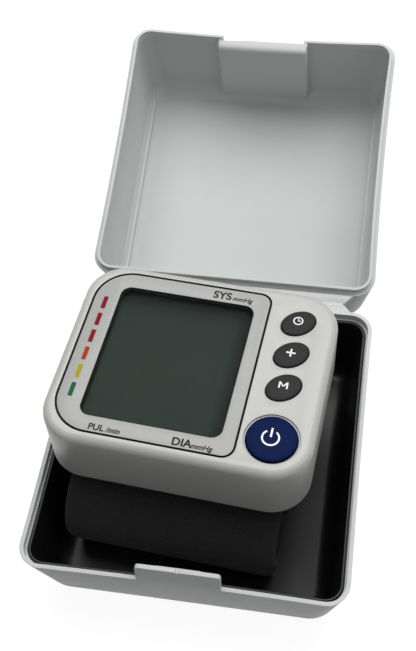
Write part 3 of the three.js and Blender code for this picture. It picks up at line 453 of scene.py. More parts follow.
# Tongue: a thin leaf that rises out of the front wall and leans in, with a moulding notch in its top edge
tongue_width = 22.6
tongue_height = 6.3
tongue_lean = 1
tongue_root = 1.5
tongue_corner = 1
tongue_top = base_height + tongue_height
notch_half = 0.4
catch_half = 6
catch_high = 0.6
catch_low = 1.8
catch_reach = 0.6
front_y = -case_depth / 2
tongue = lay_block("tongue", -tongue_width / 2, tongue_width / 2, front_y, front_y + shell_wall,
                   base_height, tongue_top)
edit(tongue)
pick("FACE", at_level(base_height))
pull(-tongue_root)
pick("VERT", lambda vert: vert.co.z / MM < base_height - 1 and vert.co.y / MM < front_y + 0.1)
bpy.ops.transform.translate(value=(0, shell_wall / 2 * MM, 0))
pick("VERT", lambda vert: vert.co.z / MM > tongue_top - 0.1)
bpy.ops.transform.translate(value=(0, tongue_lean * MM, 0))
pick("EDGE", lambda edge: all(v.co.z / MM > tongue_top - 0.1 for v in edge.verts)
     and abs(edge.verts[0].co.x - edge.verts[1].co.x) < 0.01 * MM)
bevel(tongue_corner, 4)
done()
notch = lay_block("notch", -notch_half, notch_half, front_y - 1, front_y + 4,
                  tongue_top - notch_half, tongue_top + 1)
combine(tongue, notch, "DIFFERENCE")
catch_y = front_y + tongue_lean + shell_wall
catch = lay_block("catch", -catch_half, catch_half, catch_y - catch_reach, catch_y + catch_reach / 2,
                  tongue_top - catch_low, tongue_top - catch_high)
combine(tongue, catch, "UNION")
soften(tongue, 0.25, 3)
combine(base, tongue, "UNION")

# Hinge flange: narrower than the wall, with slanted ends
hinge_reach = 3
hinge_y = case_depth / 2 + hinge_reach
hinge_drop = 0.4
hinge_z = base_height - hinge_drop
crease_gap = 0.3
flange_half = case_width / 2 - 6
flange_slant = 3
flange_thickness = 1.2


def mould_flange(name, wall_y, crease_y, top):
    flange = lay_block(name, -flange_half, flange_half, wall_y, crease_y, top - flange_thickness, top)
    edit(flange)
    pick("VERT", lambda vert: abs(vert.co.y / MM - crease_y) < 0.01)
    bpy.ops.transform.resize(value=(1 - flange_slant / flange_half, 1, 1),
                             center_override=(0, crease_y * MM, 0))
    done()
    soften(flange, 0.2)
    return flange


flange = mould_flange("base_flange", case_depth / 2 - shell_wall / 2, hinge_y - crease_gap / 2,
                      hinge_z - crease_gap / 2)
combine(base, flange, "UNION")
base_draw = (0.45, 0.25, 0.45, 0)
draw_in(base, base_height, *base_draw)
soften(base, 0.2, 3, 50)
finish(base, case_plastic)
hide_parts("case_base")
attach(base, "case")

# Liner of the base. A thin black tray with a satin skin, vacuum formed to the tub's inside. Its edge
# shows as a narrow line a little below the rim. The monitor lies loose in it.

liner_gap = 0.3
liner_wall = 0.8
liner_inset = shell_wall + liner_gap
liner_floor = floor_wall + liner_gap
liner_top = base_height - 2.2
liner_black = moulded("liner_film", paint(14, 14, 15), paint(20, 20, 21), 0.36, 2400, 0.2, 0.4, 0.25)


def inner_plate(level, gap):
    """The base's outline at one level, with a gap all round."""
    share = level / base_height
    corner = floor_corner + (rim_corner - floor_corner) * share - gap
    return level, base_lean * (1 - share) + gap, corner


liner = mould_block("liner_tray", inner_plate(liner_floor, liner_inset), inner_plate(liner_top, liner_inset),
                    floor_fillet - liner_inset)
well_inset = liner_inset + liner_wall
well = mould_block("liner_well", inner_plate(liner_floor + liner_wall, well_inset),
                   inner_plate(liner_top + 1, well_inset), floor_fillet - well_inset)
combine(liner, well, "DIFFERENCE")
draw_in(liner, base_height, *base_draw)
soften(liner, 0.25, 3, 50)
finish(liner, liner_black, 40)
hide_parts("base_liner")
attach(liner, "case")

# Lid. The same moulding as the base, thrown back on its hinge until it rests on the table. Its rim is
# set in to plug into the base, and a bump inside its far wall makes room for the latch tongue.

lid_height = 32.4
lid_lean = 2.9
lid_fillet = 5.2
lid_wall = 1.5
lid_open = 13.8
plug_height = 2
plug_inset = base_rim + 0.3
plug_wall = 0.8
plug_root = 1.4
rim_gap = 0.4
lid_axis = lid_height - plug_height + rim_gap + hinge_drop
lid_ledge = lid_height - plug_height
recess_width = 27.4
recess_depth = 4.2
bead_depth = 2.8
bead_height = 5.6
bump_top = 0.6
bump_drop = 3.5
far_y = case_depth / 2
edge_inset = lid_lean * plug_height / lid_height
rim_bottom = lid_ledge - plug_root
lid = mould_block("case_lid_shell", (0, lid_lean, floor_corner), (lid_ledge, edge_inset, rim_corner),
                  lid_fillet)
edit(lid)
pick("FACE", at_level(lid_ledge))
step_in(plug_inset - edge_inset)
pull(plug_height)
step_in(plug_wall)
pull(rim_bottom - lid_height)
sink_well(rim_bottom, plug_inset + plug_wall, lid_lean * (1 - rim_bottom / lid_height) + shell_wall,
          lid_wall, lid_lean + shell_wall)
done()

# The floor runs into the walls in a cove, a little wider along the far wall
side_cove = 4
far_cove = 5
cove_start = far_y - 12
cove_end = far_y - 5
cove_edges = lid.data.attributes.new("bevel_weight_edge", "FLOAT", "EDGE")
for edge in lid.data.edges:
    ends = [lid.data.vertices[index].co / MM for index in edge.vertices]
    if all(abs(end.z - lid_wall) < 0.01 for end in ends):
        rise = min(max((sum(end.y for end in ends) / 2 - cove_start) / (cove_end - cove_start), 0), 1)
        cove_edges.data[edge.index].value = (side_cove + (far_cove - side_cove) * rise) / far_cove
modify(lid, "BEVEL", limit_method="WEIGHT", width=far_cove * MM, segments=8, use_clamp_overlap=False)


def make_piece(name, verts, edges, faces):
    mesh = bpy.data.meshes.new(name)
    mesh.from_pydata(verts, edges, faces)
    piece = bpy.data.objects.new(name, mesh)
    bpy.context.collection.objects.link(piece)
    return piece


def thicken(sheet, height, sideways=0):
    """Draws a flat sheet out into a solid, upwards or sideways."""
    edit(sheet)
    pull(height, sideways)
    face_out()
    done()
    return sheet


def slide_profile(name, points, half):
    """A solid whose outline, in Y and Z, runs along X from one side to the other."""
    verts = [(-half * MM, y * MM, z * MM) for y, z in points]
    return thicken(make_piece(name, verts, [], [tuple(range(len(points)))]), 0, 2 * half)


def shift(piece, x, y, z):
    """Moves a piece's shape by millimetres."""
    piece.data.transform(Matrix.Translation((x * MM, y * MM, z * MM)))


# A narrow ledge runs along each side wall above its cove, and dies out before the corners
ledge_level = lid_wall + 2.6
ledge_wall = case_width / 2 - lid_lean * (1 - ledge_level / lid_height) - shell_wall
ledge_root = ledge_wall + 0.3
ledge_foot = lid_wall - 0.5
ledge_crown = ledge_level + 2
ledge_width = 1.7
ledge_half = case_depth / 2 - 8
ledge_fade = 4
side_ledges = []
for side in (-1, 1):
    ledge = slide_profile("side_ledge", [
        (ledge_root, ledge_foot), (ledge_root, ledge_crown), (ledge_wall, ledge_crown),
        (ledge_wall - 0.9, ledge_level + 0.15), (ledge_wall - ledge_width, ledge_level),
        (ledge_wall - ledge_width - 0.2, ledge_foot),
    ], ledge_half)
    edit(ledge)
    mesh = bmesh.from_edit_mesh(ledge.data)
    for end in (-1, 1):
        cut_across(mesh, (end * (ledge_half - ledge_fade) * MM, 0, 0), (1, 0, 0))
    pick("VERT", lambda vert: abs(vert.co.x / MM) > ledge_half - 0.1)
    bpy.ops.transform.resize(value=(1, 0.1, 0.1),
                             center_override=(0, ledge_root * MM, (ledge_level + 1.5) * MM))
    done()
    ledge.data.transform(Matrix.Rotation(-side * math.pi / 2, 4, "Z"))
    side_ledges.append(ledge)

# Bump: it rises to the rim in a wide round shoulder, and hides the recess behind it
bump_face = far_y - recess_depth - shell_wall - 1.1
bump_back = far_y - 1.5
bump_crest = far_y - bead_depth - bump_top
bump_foot = lid_wall / 2
bump_fullness = 0.6
bump_steps = 16
bump_rounding = 1.1
bump_flares = ((-1, 1.1), (1, 0.5))
bump_points = [(bump_back, bump_foot), (bump_back, lid_height), (bump_crest, lid_height)]
for step in range(1, bump_steps + 1):
    angle = math.pi / 2 * step / bump_steps
    bump_points.append((bump_crest + (bump_face - bump_crest) * math.sin(angle) ** bump_fullness,
                        lid_height - bump_drop * (1 - max(math.cos(angle), 0) ** bump_fullness)))
bump_points.append((bump_face, bump_foot))
bump = slide_profile("bump", bump_points, recess_width / 2 + shell_wall)
edit(bump)
for side, flare in bump_flares:
    pick("VERT", lambda vert: vert.co.x * side > 0 and vert.co.z / MM < lid_wall)
    bpy.ops.transform.translate(value=(side * flare * MM, 0, 0))
pick("EDGE", lambda edge: (edge.verts[0].co.x > 0) == (edge.verts[1].co.x > 0)
     and all(v.co.y / MM < bump_crest + 0.01 for v in edge.verts))
bevel(bump_rounding, 4)
done()

# The bump and the ledges stay inside the lid's skin
skin = 0.3
inner_forms = merge("inner_forms", bump, *side_ledges)
outline = mould_block("outline", (skin, lid_lean + skin, floor_corner - skin),
                      (lid_height + 1, skin, rim_corner - skin), lid_fillet - skin)
combine(inner_forms, outline, "INTERSECT")
combine(lid, inner_forms, "UNION")
bead_y = far_y - bead_depth
bead_low = lid_height - bead_height
recess_y = far_y - recess_depth
recess = slide_profile("recess", [
    (far_y + 3, -1), (far_y + 3, lid_height + 3), (bead_y, lid_height + 3), (bead_y, bead_low),
    (recess_y, bead_low + bead_depth - recess_depth), (recess_y, -1),
], recess_width / 2)
combine(lid, recess, "DIFFERENCE")
flange = mould_flange("lid_flange", -(far_y - shell_wall / 2), -(hinge_y - crease_gap / 2),
                      lid_axis - crease_gap / 2)
trim = lay_block("trim", -case_width, case_width, -far_y - 0.3, 0, lid_ledge, lid_height + 2)
combine(flange, trim, "DIFFERENCE")
combine(lid, flange, "UNION")
draw_in(lid, lid_height, 0.6, 0.8, 0, 1)
soften(lid, 0.2, 3, 50)
shift(lid, 0, hinge_y, -lid_axis)
lid.data.transform(Matrix.Rotation(math.radians(lid_open), 4, "X"))
shift(lid, 0, hinge_y, hinge_z)
finish(lid, case_plastic)
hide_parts("case_lid")
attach(lid, "lid")

# Living hinge. The web is a thin strip of the same moulding that lies over both flanges' ends, along the
# crease where the lid folds shut; it lies flat here, cut across into narrow strips.

web_reach = 0.9
web_thickness = 0.35
web_drop = 0.1
web_half = flange_half - 3.4
web_corner = 0.3
web_strips = 14
web = lay_plate("hinge_web", 2 * web_half, 2 * web_reach, hinge_z - web_drop - web_thickness, web_corner,
                y=hinge_y, steps=2)
thicken(web, web_thickness)
edit(web)
mesh = bmesh.from_edit_mesh(web.data)
for strip in range(1, web_strips):
    cut_y = hinge_y + web_reach * (2 * strip / web_strips - 1)
    cut_across(mesh, (0, cut_y * MM, 0), (0, 1, 0))
bmesh.update_edit_mesh(web.data)
done()
finish(web, case_plastic)
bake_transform(web)

# Front housing of the monitor. A warm white shell with a round-edged face, a recess for the printed
# panel, four button holes and a dished seat for the power button. Its side wall is open where the
# battery door goes. It is drawn with its face at the origin, facing up, and then put in its place.

face_centre = (-2.7, 8.1, 53.2)
monitor_turn = -4.4
monitor_tilt = 4.9
body_width = 72
body_length = 59
body_corner = 11
face_fillet = 2.2
front_depth = 19.5
wall = 1.8
play = 0.3
round_steps = 72
panel_left = -33.2
panel_right = 16.8
panel_half = 26.9
panel_left_corner = 10.6
panel_right_corner = 3.6
panel_groove = 0.6
panel_recess = 1
edge_lip = 0.18
window_x = -6.65
window_width = 38.3
window_length = 43.4
window_corner = 3
button_x = 25.15
button_gap = 0.3
small_button = (9.9, 7.35)
small_turn = 40
power_y = -18.85
power_width = 13.1
buttons = {
    "clock": (18.4, *small_button),
    "plus": (7.65, *small_button),
    "memory": (-3.1, *small_button),
    "power": (power_y, power_width, power_width),
}
dish_width = power_width + 1.6
dish_depth = 0.55
door_half = 24.3
door_top = 8.2
side_x = -body_width / 2
monitor_place = (
    Matrix.Translation([value * MM for value in face_centre])
    @ Matrix.Rotation(math.radians(monitor_turn), 4, "Z")
    @ Matrix.Rotation(math.radians(-monitor_tilt), 4, "X")
)
housing_white = moulded("housing_abs", paint(170, 170, 166), paint(165, 165, 161), 0.34, 2600, 0.06, 0.2)
# A dark finish that paints shade into the grooves round the panel and its window
groove_shade_paint = moulded("groove_shade_paint", paint(20, 21, 22), paint(26, 27, 28), 0.55, specular=0.2)


def seat_on_monitor(piece):
    piece.data.transform(monitor_place)


def panel_block(name, inset, low, high):
    """A solid on the panel's outline, which is rounder on its left than on its right."""
    middle = (panel_left + panel_right) / 2
    width = panel_right - panel_left
    plate = lay_plate(name, width - 2 * inset, 2 * (panel_half - inset), low, 0, middle)
    edit(plate)
    for side, corner in ((-1, panel_left_corner), (1, panel_right_corner)):
        pick("VERT", lambda vert: (vert.co.x / MM - middle) * side > 0.3 * width)
        bevel(corner - inset, corner_steps, "VERTICES")
    done()
    return thicken(plate, high - low)


def window_block(name, inset, low, high):
    plate = lay_plate(name, window_width - 2 * inset, window_length - 2 * inset, low,
                      window_corner - inset, window_x)
    return thicken(plate, high - low)


def lay_cylinder(name, x, y, width, length, low, high, turn=0):
    """A round or oval pin, turned about its own axis by an angle in degrees."""
    bpy.ops.mesh.primitive_cylinder_add(
        vertices=round_steps, radius=0.5 * MM, depth=MM, location=(x * MM, y * MM, (low + high) / 2 * MM),
        rotation=(0, 0, math.radians(turn)))
    return set_size(name, width, length, high - low)


def round_level(block, level, width, steps):
    """Rounds the edges that lie at one level."""
    edit(block)
    pick("EDGE", at_level(level))
    bevel(width, steps)
    done()
    return block


def body_block(name, inset, low, high):
    plate = lay_plate(name, body_width - 2 * inset, body_length - 2 * inset, low, body_corner - inset,
                      steps=16)
    return thicken(plate, high - low)


def hollow_body(name):
    """The upper shell of the monitor, open below."""
    shell = round_level(body_block(name, 0, -front_depth, 0), 0, face_fillet, 8)
    combine(shell, body_block("hollow", wall, -front_depth - 1, -wall), "DIFFERENCE")
    return shell


def door_block(name, gap):
    """The part of the side wall that the battery door takes, less a gap."""
    return lay_block(name, side_x - 4, side_x + 6, gap - door_half, door_half - gap,
                     -front_depth - 1, -door_top - gap)


housing = hollow_body("front_shell")
combine(housing, panel_block("recess", 0, -panel_recess, 1), "DIFFERENCE")
combine(housing, window_block("window_hole", -play, -wall - 1, 1), "DIFFERENCE")
dish = lay_cylinder("dish", button_x, power_y, dish_width, dish_width, -dish_depth, 1)
combine(housing, round_level(dish, -dish_depth, 0.3, 3), "DIFFERENCE")
for place_y, width, length in buttons.values():
    hole = lay_cylinder("hole", button_x, place_y, width + 2 * button_gap, length + 2 * button_gap,
                        -wall - 1, 1, small_turn)
    combine(housing, hole, "DIFFERENCE")
combine(housing, door_block("door_opening", 0), "DIFFERENCE")
soften(housing, 0.12, 2, 50)
finish(housing, housing_white, 30)
# Painted shade: the recess's walls and floor, and the window hole's walls, are coloured dark as the shaded
# groove round the panel
housing.data.materials.append(groove_shade_paint)
for face in housing.data.polygons:
    x, y, z = face.center / MM
    past_corner = Vector((min(x - panel_left - panel_left_corner, 0),
                          max(abs(y) - panel_half + panel_left_corner, 0)))
    inside = past_corner.length < panel_left_corner + 0.1 and x < panel_right + 0.1
    if inside and -wall < z < -edge_lip:
        face.material_index = 1
seat_on_monitor(housing)
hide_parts("front_housing")
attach(housing, "monitor")

# Battery door. It continues the side wall over the two cells and slides off sideways by its grip.

grip_low = -(door_top + front_depth) / 2 - 2
grip_half = 7
grip_depth = 0.7
grip_height = 0.6
grip_pitch = 1.1
grip_ribs = 4
door = hollow_body("door_shell")
combine(door, door_block("door_part", play), "INTERSECT")
for rib in range(grip_ribs):
    low = grip_low + grip_pitch * rib
    grip = lay_block("grip", side_x - 4, side_x + grip_depth, -grip_half, grip_half, low, low + grip_height)
    combine(door, grip, "DIFFERENCE")
soften(door, 0.2, 2, 50)
finish(door, housing_white, 30)
seat_on_monitor(door)
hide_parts("battery_door")
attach(door, "battery_cover")

# Printed panel and its window. A silver-grey plate lies in the recess with painted shade on its edge all
# round, and a clear lens closes its window over the liquid crystal glass, which stays in shade behind it,
# with that shade painted along its top and right edges.

panel_thickness = 0.7
panel_bottom = play - panel_recess
panel_top = panel_bottom + panel_thickness
panel_paint = moulded("panel_silver", paint(154, 155, 152), paint(147, 148, 146), 0.4, 5200, 0.08, 0.3, 0.4)
panel = panel_block("panel_plate", panel_groove, panel_bottom, panel_top)
combine(panel, window_block("window_cut", 0, -2, 2), "DIFFERENCE")
soften(panel, 0.1, 2, 50)
finish(panel, panel_paint, 30)
# Painted shade: the panel's side faces, round its outline and its window, are coloured dark as the shaded
# groove
panel.data.materials.append(groove_shade_paint)
for face in panel.data.polygons:
    if abs(face.normal.z) < 0.3:
        face.material_index = 1
seat_on_monitor(panel)
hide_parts("display_panel")
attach(panel, "monitor")

# A dark film frames the window from behind and hides the edges of the glass
mask_low = -1.9
mask_lip = 0.3
mask = window_block("window_mask", -play / 2, mask_low, panel_bottom - 0.05)
combine(mask, window_block("mask_cut", mask_lip, -3, 1), "DIFFERENCE")
finish(mask, moulded("mask_film", paint(34, 40, 38), paint(40, 46, 44), 0.6, specular=0.1), 30)
seat_on_monitor(mask)
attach(mask, "monitor")

lens_plastic, tree, shader = new_finish("lens_acrylic")
feed(tree, shader, {
    "Base Color": paint(8, 12, 11), "Roughness": 0.07, "Specular IOR Level": 0.06, "Alpha": 0.14,
})
lens = window_block("window_lens", play / 2, panel_bottom, panel_top - 0.04)
soften(lens, 0.15, 2, 50)
finish(lens, lens_plastic, 30)
seat_on_monitor(lens)
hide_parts("display_lens")
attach(lens, "monitor")


def coat_nodes(material, *labels):
    """Gives a finish to nodes that are carried over as they are."""
    for label in labels:
        coat(nodes[label], material)


glass_finish, tree, shader = new_finish("liquid_crystal")
place = add_node(tree, "ShaderNodeTexCoord").outputs["Object"]
face_turn = monitor_place.to_3x3()


def paint_glass_shade(colour, direction, clear, dark, depth, shade):
    """Paints shade on the glass: darkens its colour from clear to dark, between two distances along that
    direction of the monitor's face.
    """
    way = face_turn @ Vector(direction)
    along = add_node(tree, "ShaderNodeVectorMath", {0: place, 1: way}, operation="DOT_PRODUCT")
    start = Vector([value * MM for value in face_centre]).dot(way)
    share = spread(tree, along.outputs["Value"], start + clear * MM, start + dark * MM, 0, 1)
    return blend_colour(tree, calculate(tree, "MULTIPLY", share, depth), colour, shade)


window_top = window_length / 2
window_right = window_x + window_width / 2
mottle = spread(tree, noise(tree, 120, 3), 0.35, 0.65, 0, 0.3)
glass_colour = blend_colour(tree, mottle, paint(50, 63, 57), paint(44, 57, 51))
# Painted shade: the glass darkens towards the top and right edges of the window, where the rim above it
# shades it
glass_colour = paint_glass_shade(glass_colour, (0, 1, 0), clear=window_top - 7, dark=window_top - 1.5,
                           depth=0.85, shade=paint(16, 20, 19))
glass_colour = paint_glass_shade(glass_colour, (1, 0, 0), clear=window_right - 4.5, dark=window_right - 1,
                           depth=0.8, shade=paint(18, 22, 21))
feed(tree, shader, {"Base Color": glass_colour, "Roughness": 0.5, "Specular IOR Level": 0.1})
coat_nodes(glass_finish, "lcd_display")

# Print on the panel: the abbreviations of such an instrument beside its figures, and the six bars of a
# pressure scale. Each is a thin layer of ink that stands on the panel.

ink_height = 0.04
capital_share = 0.729
ink_black = moulded("ink_black", paint(22, 23, 26), paint(28, 29, 32), 0.6, 5000, 0.02, 0.3, 0.1)


def letter(name, words, x, y, size, lean, weight):
    """Flat lettering whose lower left corner is at x, y; size is the height of a capital."""
    bpy.ops.object.text_add()
    text = bpy.context.object
    text.name = name
    text.data.body = words
    text.data.size = size / capital_share * MM
    text.data.shear = lean
    text.data.offset = weight * MM
    text.data.extrude = ink_height * MM
    choose(text)
    bpy.ops.object.convert(target="MESH")
    text = bpy.context.object
    shift(text, x, y, panel_top)
    seat_on_monitor(text)
    coat(text, ink_black)
    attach(text, "monitor")


letter("label_systolic", "SYS", 0.0, 22.75, 2.5, 0, 0.085)
letter("unit_systolic", "mmHg", 5.6, 22.75, 1.5, 0.2, 0.05)
letter("label_diastolic", "DIA", 0.4, -25.7, 2.3, 0, 0.08)
letter("unit_diastolic", "mmHg", 5.5, -25.7, 1.5, 0.2, 0.05)
letter("label_pulse", "PUL", -21.8, -25.7, 1.85, 0, 0.06)
letter("unit_pulse", "/min", -17.0, -25.7, 1.55, 0.2, 0.05)

bar_colours = {
    "first": paint(118, 10, 32), "second": paint(118, 10, 32), "third": paint(120, 14, 32),
    "fourth": paint(152, 54, 20), "fifth": paint(152, 146, 34), "sixth": paint(20, 86, 46),
}
bar_x = -29.4
bar_size = (1.25, 4.3)
bar_top_y = 14.85
bar_pitch = 5.94
bar_corner = 0.12
for number, (label, colour) in enumerate(bar_colours.items()):
    bar = lay_plate(f"scale_bar_{label}", *bar_size, panel_top - ink_height, bar_corner, bar_x,
                    bar_top_y - bar_pitch * number, 2)
    thicken(bar, 2 * ink_height)
    seat_on_monitor(bar)
    darker = (*[0.9 * value for value in colour[:3]], 1)
    coat(bar, moulded(f"ink_{label}", colour, darker, 0.6, 5000, 0.02, 0.3, 0.1))
    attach(bar, "monitor")

# Buttons. Soft caps with a low crown, a flange under the face and a stem over the switch, each with its
# sign in white: a clock, a plus, an M for memory, and the power sign on the round blue one.

button_proud = 0.75
button_crown = 0.55
flange_reach = 0.8
flange_high = -wall - play
flange_low = flange_high - 0.7
stem_radius = 1.5
board_top = -6.5
switch_body = 0.9
switch_plunger = 0.35
button_travel = 0.6
stem_low = board_top + switch_body + switch_plunger + button_travel + play
crown_steps = 10
turn_steps = 64
sign_level = button_proud - 0.06
sign_height = 0.08
cap_rubber = moulded("cap_rubber", paint(30, 30, 30), paint(36, 36, 36), 0.55, 2200, 0.15, 0.4, 0.15)
power_rubber = moulded("power_rubber", paint(4, 22, 62), paint(6, 25, 68), 0.5, 2200, 0.12, 0.4, 0.04)
sign_white = moulded("sign_white", paint(232, 233, 235), paint(222, 223, 226), 0.5)


def weld(piece):
    """Joins points that coincide and turns the faces outwards."""
    edit(piece)
    bpy.ops.mesh.remove_doubles(threshold=0.001 * MM)
    face_out()
    done()


def turn_profile(name, points):
    """Turns a profile of radius and height about the Z axis."""
    verts = [(radius * MM, 0, height * MM) for radius, height in points]
    piece = make_piece(name, verts, [(index, index + 1) for index in range(len(points) - 1)], [])
    modify(piece, "SCREW", steps=turn_steps, render_steps=turn_steps, use_merge_vertices=True,
           merge_threshold=0.001 * MM)
    weld(piece)
    return piece


def lay_ring(x, y, outer, inner, gap=0):
    """A flat ring for a sign, open at its top by an angle in degrees."""
    bpy.ops.mesh.primitive_circle_add(vertices=round_steps, radius=inner / 2 * MM, location=(0, 0, 0))
    ring = bpy.context.object
    edit(ring)
    if gap:
        limit = math.cos(math.radians(gap / 2))
        pick("VERT", lambda vert: vert.co.y / (inner / 2 * MM) > limit)
        bpy.ops.mesh.delete(type="VERT")
    bpy.ops.mesh.select_all(action="SELECT")
    bpy.ops.mesh.extrude_region_move()
    bpy.ops.transform.resize(value=(outer / inner, outer / inner, 1), center_override=(0, 0, 0))
    done()
    thicken(ring, sign_height)
    shift(ring, x, y, sign_level)
    return ring


def lay_stroke(left, right, front, back):
    return lay_block("stroke", left, right, front, back, sign_level, sign_level + sign_height)


def draw_sign(name, body, *pieces):
    sign = merge(name, *pieces)
    seat_on_monitor(sign)
    coat(sign, sign_white)
    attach(sign, body)


for label, (place_y, width, length) in buttons.items():
    radius = width / 2
    flange_radius = radius + flange_reach
    profile = [(0, stem_low), (stem_radius, stem_low), (stem_radius, flange_low), (flange_radius, flange_low),
               (flange_radius, flange_high), (radius, flange_high)]
    for step in range(crown_steps + 1):
        angle = math.pi / 2 * step / crown_steps
        profile.append((radius * math.cos(angle) if step < crown_steps else 0,
                        button_proud - button_crown + button_crown * math.sin(angle)))
    cap = turn_profile(f"{label}_cap", profile)
    cap.data.transform(Matrix.Diagonal((1, length / width, 1, 1)))
    cap.data.transform(Matrix.Rotation(math.radians(small_turn), 4, "Z"))
    shift(cap, button_x, place_y, 0)
    finish(cap, power_rubber if label == "power" else cap_rubber, 40)
    seat_on_monitor(cap)
    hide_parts(f"button_{label}")
    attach(cap, f"{label}_key")

sign_x = 25
clock_y = 18.8
hand_half = 0.13
draw_sign("clock_sign", "clock_key", lay_ring(sign_x, clock_y, 2.75, 2.1),
          lay_stroke(sign_x - hand_half, sign_x + hand_half, clock_y - 0.1, clock_y + 0.85),
          lay_stroke(sign_x - hand_half, sign_x + 0.7, clock_y - hand_half, clock_y + hand_half))
plus_y = 7.9
plus_half = 1.25
plus_stroke = 0.24
draw_sign("plus_sign", "plus_key",
          lay_stroke(sign_x - plus_half, sign_x + plus_half, plus_y - plus_stroke, plus_y + plus_stroke),
          lay_stroke(sign_x - plus_stroke, sign_x + plus_stroke, plus_y - plus_half, plus_y + plus_half))
memory_low = -3.75
memory_high = -1.65
memory_half = 1.25
memory_stroke = 0.42
slant_half = 0.21
slant_low = memory_low + 0.6
strokes = []
for side in (-1, 1):
    leg_x = sign_x + side * (memory_half - memory_stroke / 2)
    strokes.append(lay_stroke(leg_x - memory_stroke / 2, leg_x + memory_stroke / 2, memory_low, memory_high))
    slant = lay_stroke(sign_x - slant_half, sign_x + slant_half, slant_low, memory_high)
    edit(slant)
    pick("VERT", lambda vert: vert.co.y / MM > memory_high - 0.01)
    bpy.ops.transform.translate(value=(side * (memory_half - slant_half) * MM, 0, 0))
    done()
    strokes.append(slant)
draw_sign("memory_sign", "memory_key", *strokes)
power_sign_y = -19
draw_sign("power_sign", "power_key", lay_ring(sign_x - 0.15, power_sign_y, 4.8, 3.85, gap=62),
          lay_stroke(sign_x - 0.4, sign_x + 0.1, power_sign_y + 0.2, power_sign_y + 2.9))

# Rear housing and its screws. The lower shell is moulded in black; four self-tapping screws with nickel
# plated pan heads hold it to the front shell from below.

housing_black = moulded("rear_housing_abs", paint(24, 24, 25), paint(31, 31, 32), 0.42, 2400, 0.2, 0.4, 0.3)
coat_nodes(housing_black, "rear_housing")


def plated(name, colour, worn_colour, roughness):
    """A finish of plated or turned metal."""
    material = moulded(name, colour, worn_colour, roughness, 4200, 0.08, 0.5)
    feed(material.node_tree, material.node_tree.nodes["Principled BSDF"], {"Metallic": 1})
    return material


nickel = plated("nickel_plate", paint(196, 198, 199), paint(176, 177, 177), 0.28)
coat_nodes(nickel, *[f"housing_screw_{number}" for number in range(1, 5)])

# Display parts under the glass: a white frame carries it, and a striped rubber strip joins its edge to
# the circuit board.

carrier_white = moulded("carrier_white", paint(206, 206, 200), paint(196, 196, 190), 0.5, 2600, 0.15)
coat_nodes(carrier_white, "lcd_carrier")
coat_nodes(moulded("strip_rubber", paint(52, 52, 54), paint(86, 82, 76), 0.7, 9000, 0.4, 0.8), "zebra_strip")

# Circuit board and what is soldered to it: a green board, a black chip and buzzer, a white pressure
# sensor and four metal switches under the caps.

solder_mask, tree, shader = new_finish("solder_mask")
tracks = add_node(tree, "ShaderNodeTexBrick", {
    "Vector": add_node(tree, "ShaderNodeTexCoord").outputs["Object"],
    "Scale": 420, "Mortar Size": 0.03,
    "Color1": paint(28, 92, 58), "Color2": paint(31, 99, 62), "Mortar": paint(44, 122, 78),
}, offset=0.37, squash=0.6)
gloss = spread(tree, noise(tree, 800), 0.3, 0.7, 0.28, 0.4)
feed(tree, shader, {"Base Color": tracks.outputs["Color"], "Roughness": gloss})
coat_nodes(solder_mask, "circuit_board")
coat_nodes(moulded("chip_epoxy", paint(26, 26, 27), paint(36, 36, 36), 0.55, 3600, 0.3),
           "control_chip", "buzzer")
coat_nodes(carrier_white, "pressure_sensor")
coat_nodes(nickel, *[f"switch_{label}" for label in buttons])

# Battery compartment: a white tray with two cells in printed metal jackets, and spring strips of
# nickelled steel at their ends.

coat_nodes(plated("cell_jacket", paint(58, 60, 66), paint(70, 72, 78), 0.38),
           "battery_outer", "battery_inner")
coat_nodes(carrier_white, "battery_tray")
coat_nodes(nickel, "series_contact", "plus_contact", "minus_contact")

# Air system: a small diaphragm pump with its motor, a release valve and a manifold, joined by silicone
# hoses. A nozzle leads through the rear shell to the bladder in the cuff.

coat_nodes(plated("motor_can", paint(170, 172, 174), paint(150, 151, 152), 0.35), "pump_motor", "air_valve")
coat_nodes(housing_black, "pump_head", "air_manifold", "cuff_port")
coat_nodes(moulded("hose_silicone", paint(206, 203, 190), paint(196, 192, 178), 0.45, 1600, 0.1),
           "pump_hose", "valve_hose", "sensor_hose", "cuff_hose")

# Cuff. A band of black fabric leaves the underside at its long edges, goes round the wrist space and laps
# over itself on the liner. Its outer layer is a laminated cloth with thinned, rounded edges; the inner one,
# over the bladder, is softer and swells between its seams.

cuff_width = 59
body_depth = 24.5
cuff_back = 27.4
cuff_front = -40
cuff_top = -body_depth - play
tail_gap = 0.6
tail_height = liner_floor + liner_wall + tail_gap - face_centre[2]
band_thickness = 1.2
patch_thickness = 0.8
lap_rise = band_thickness + 2 * patch_thickness + 3 * play
inner_end_y = -18
tail_end_y = 12
tilt_angle = math.radians(monitor_tilt)
back_corner = 9.2
front_corner = 13
arc_steps = 12
row_pitch = 1.2


def from_level(y, height):
    """A point of the case, level with its floor, in the monitor's tilted plane."""
    return Vector((y * math.cos(tilt_angle) - height * math.sin(tilt_angle),
                   y * math.sin(tilt_angle) + height * math.cos(tilt_angle)))


cuff_corners = [
    (from_level(inner_end_y, tail_height + lap_rise), 0),
    (from_level(cuff_back, tail_height + lap_rise), back_corner),
    (Vector((cuff_back, cuff_top)), back_corner),
    (Vector((cuff_front, cuff_top)), front_corner),
    (from_level(cuff_front, tail_height), front_corner),
    (from_level(tail_end_y, tail_height), 0),
]


def round_path(corners):
    """The path through the corners, with each one rounded by its radius."""
    points = [corners[0][0]]
    for (before, _), (corner, radius), (after, _) in zip(corners, corners[1:], corners[2:]):
        into = (corner - before).normalized()
        leaving = (after - corner).normalized()
        turn = into.angle(leaving)
        start = corner - into * radius * math.tan(turn / 2)
        centre = start + Vector((-into.y, into.x)) * radius
        for step in range(arc_steps + 1):
            points.append(centre + Matrix.Rotation(turn * step / arc_steps, 2) @ (start - centre))
    points.append(corners[-1][0])
    return points


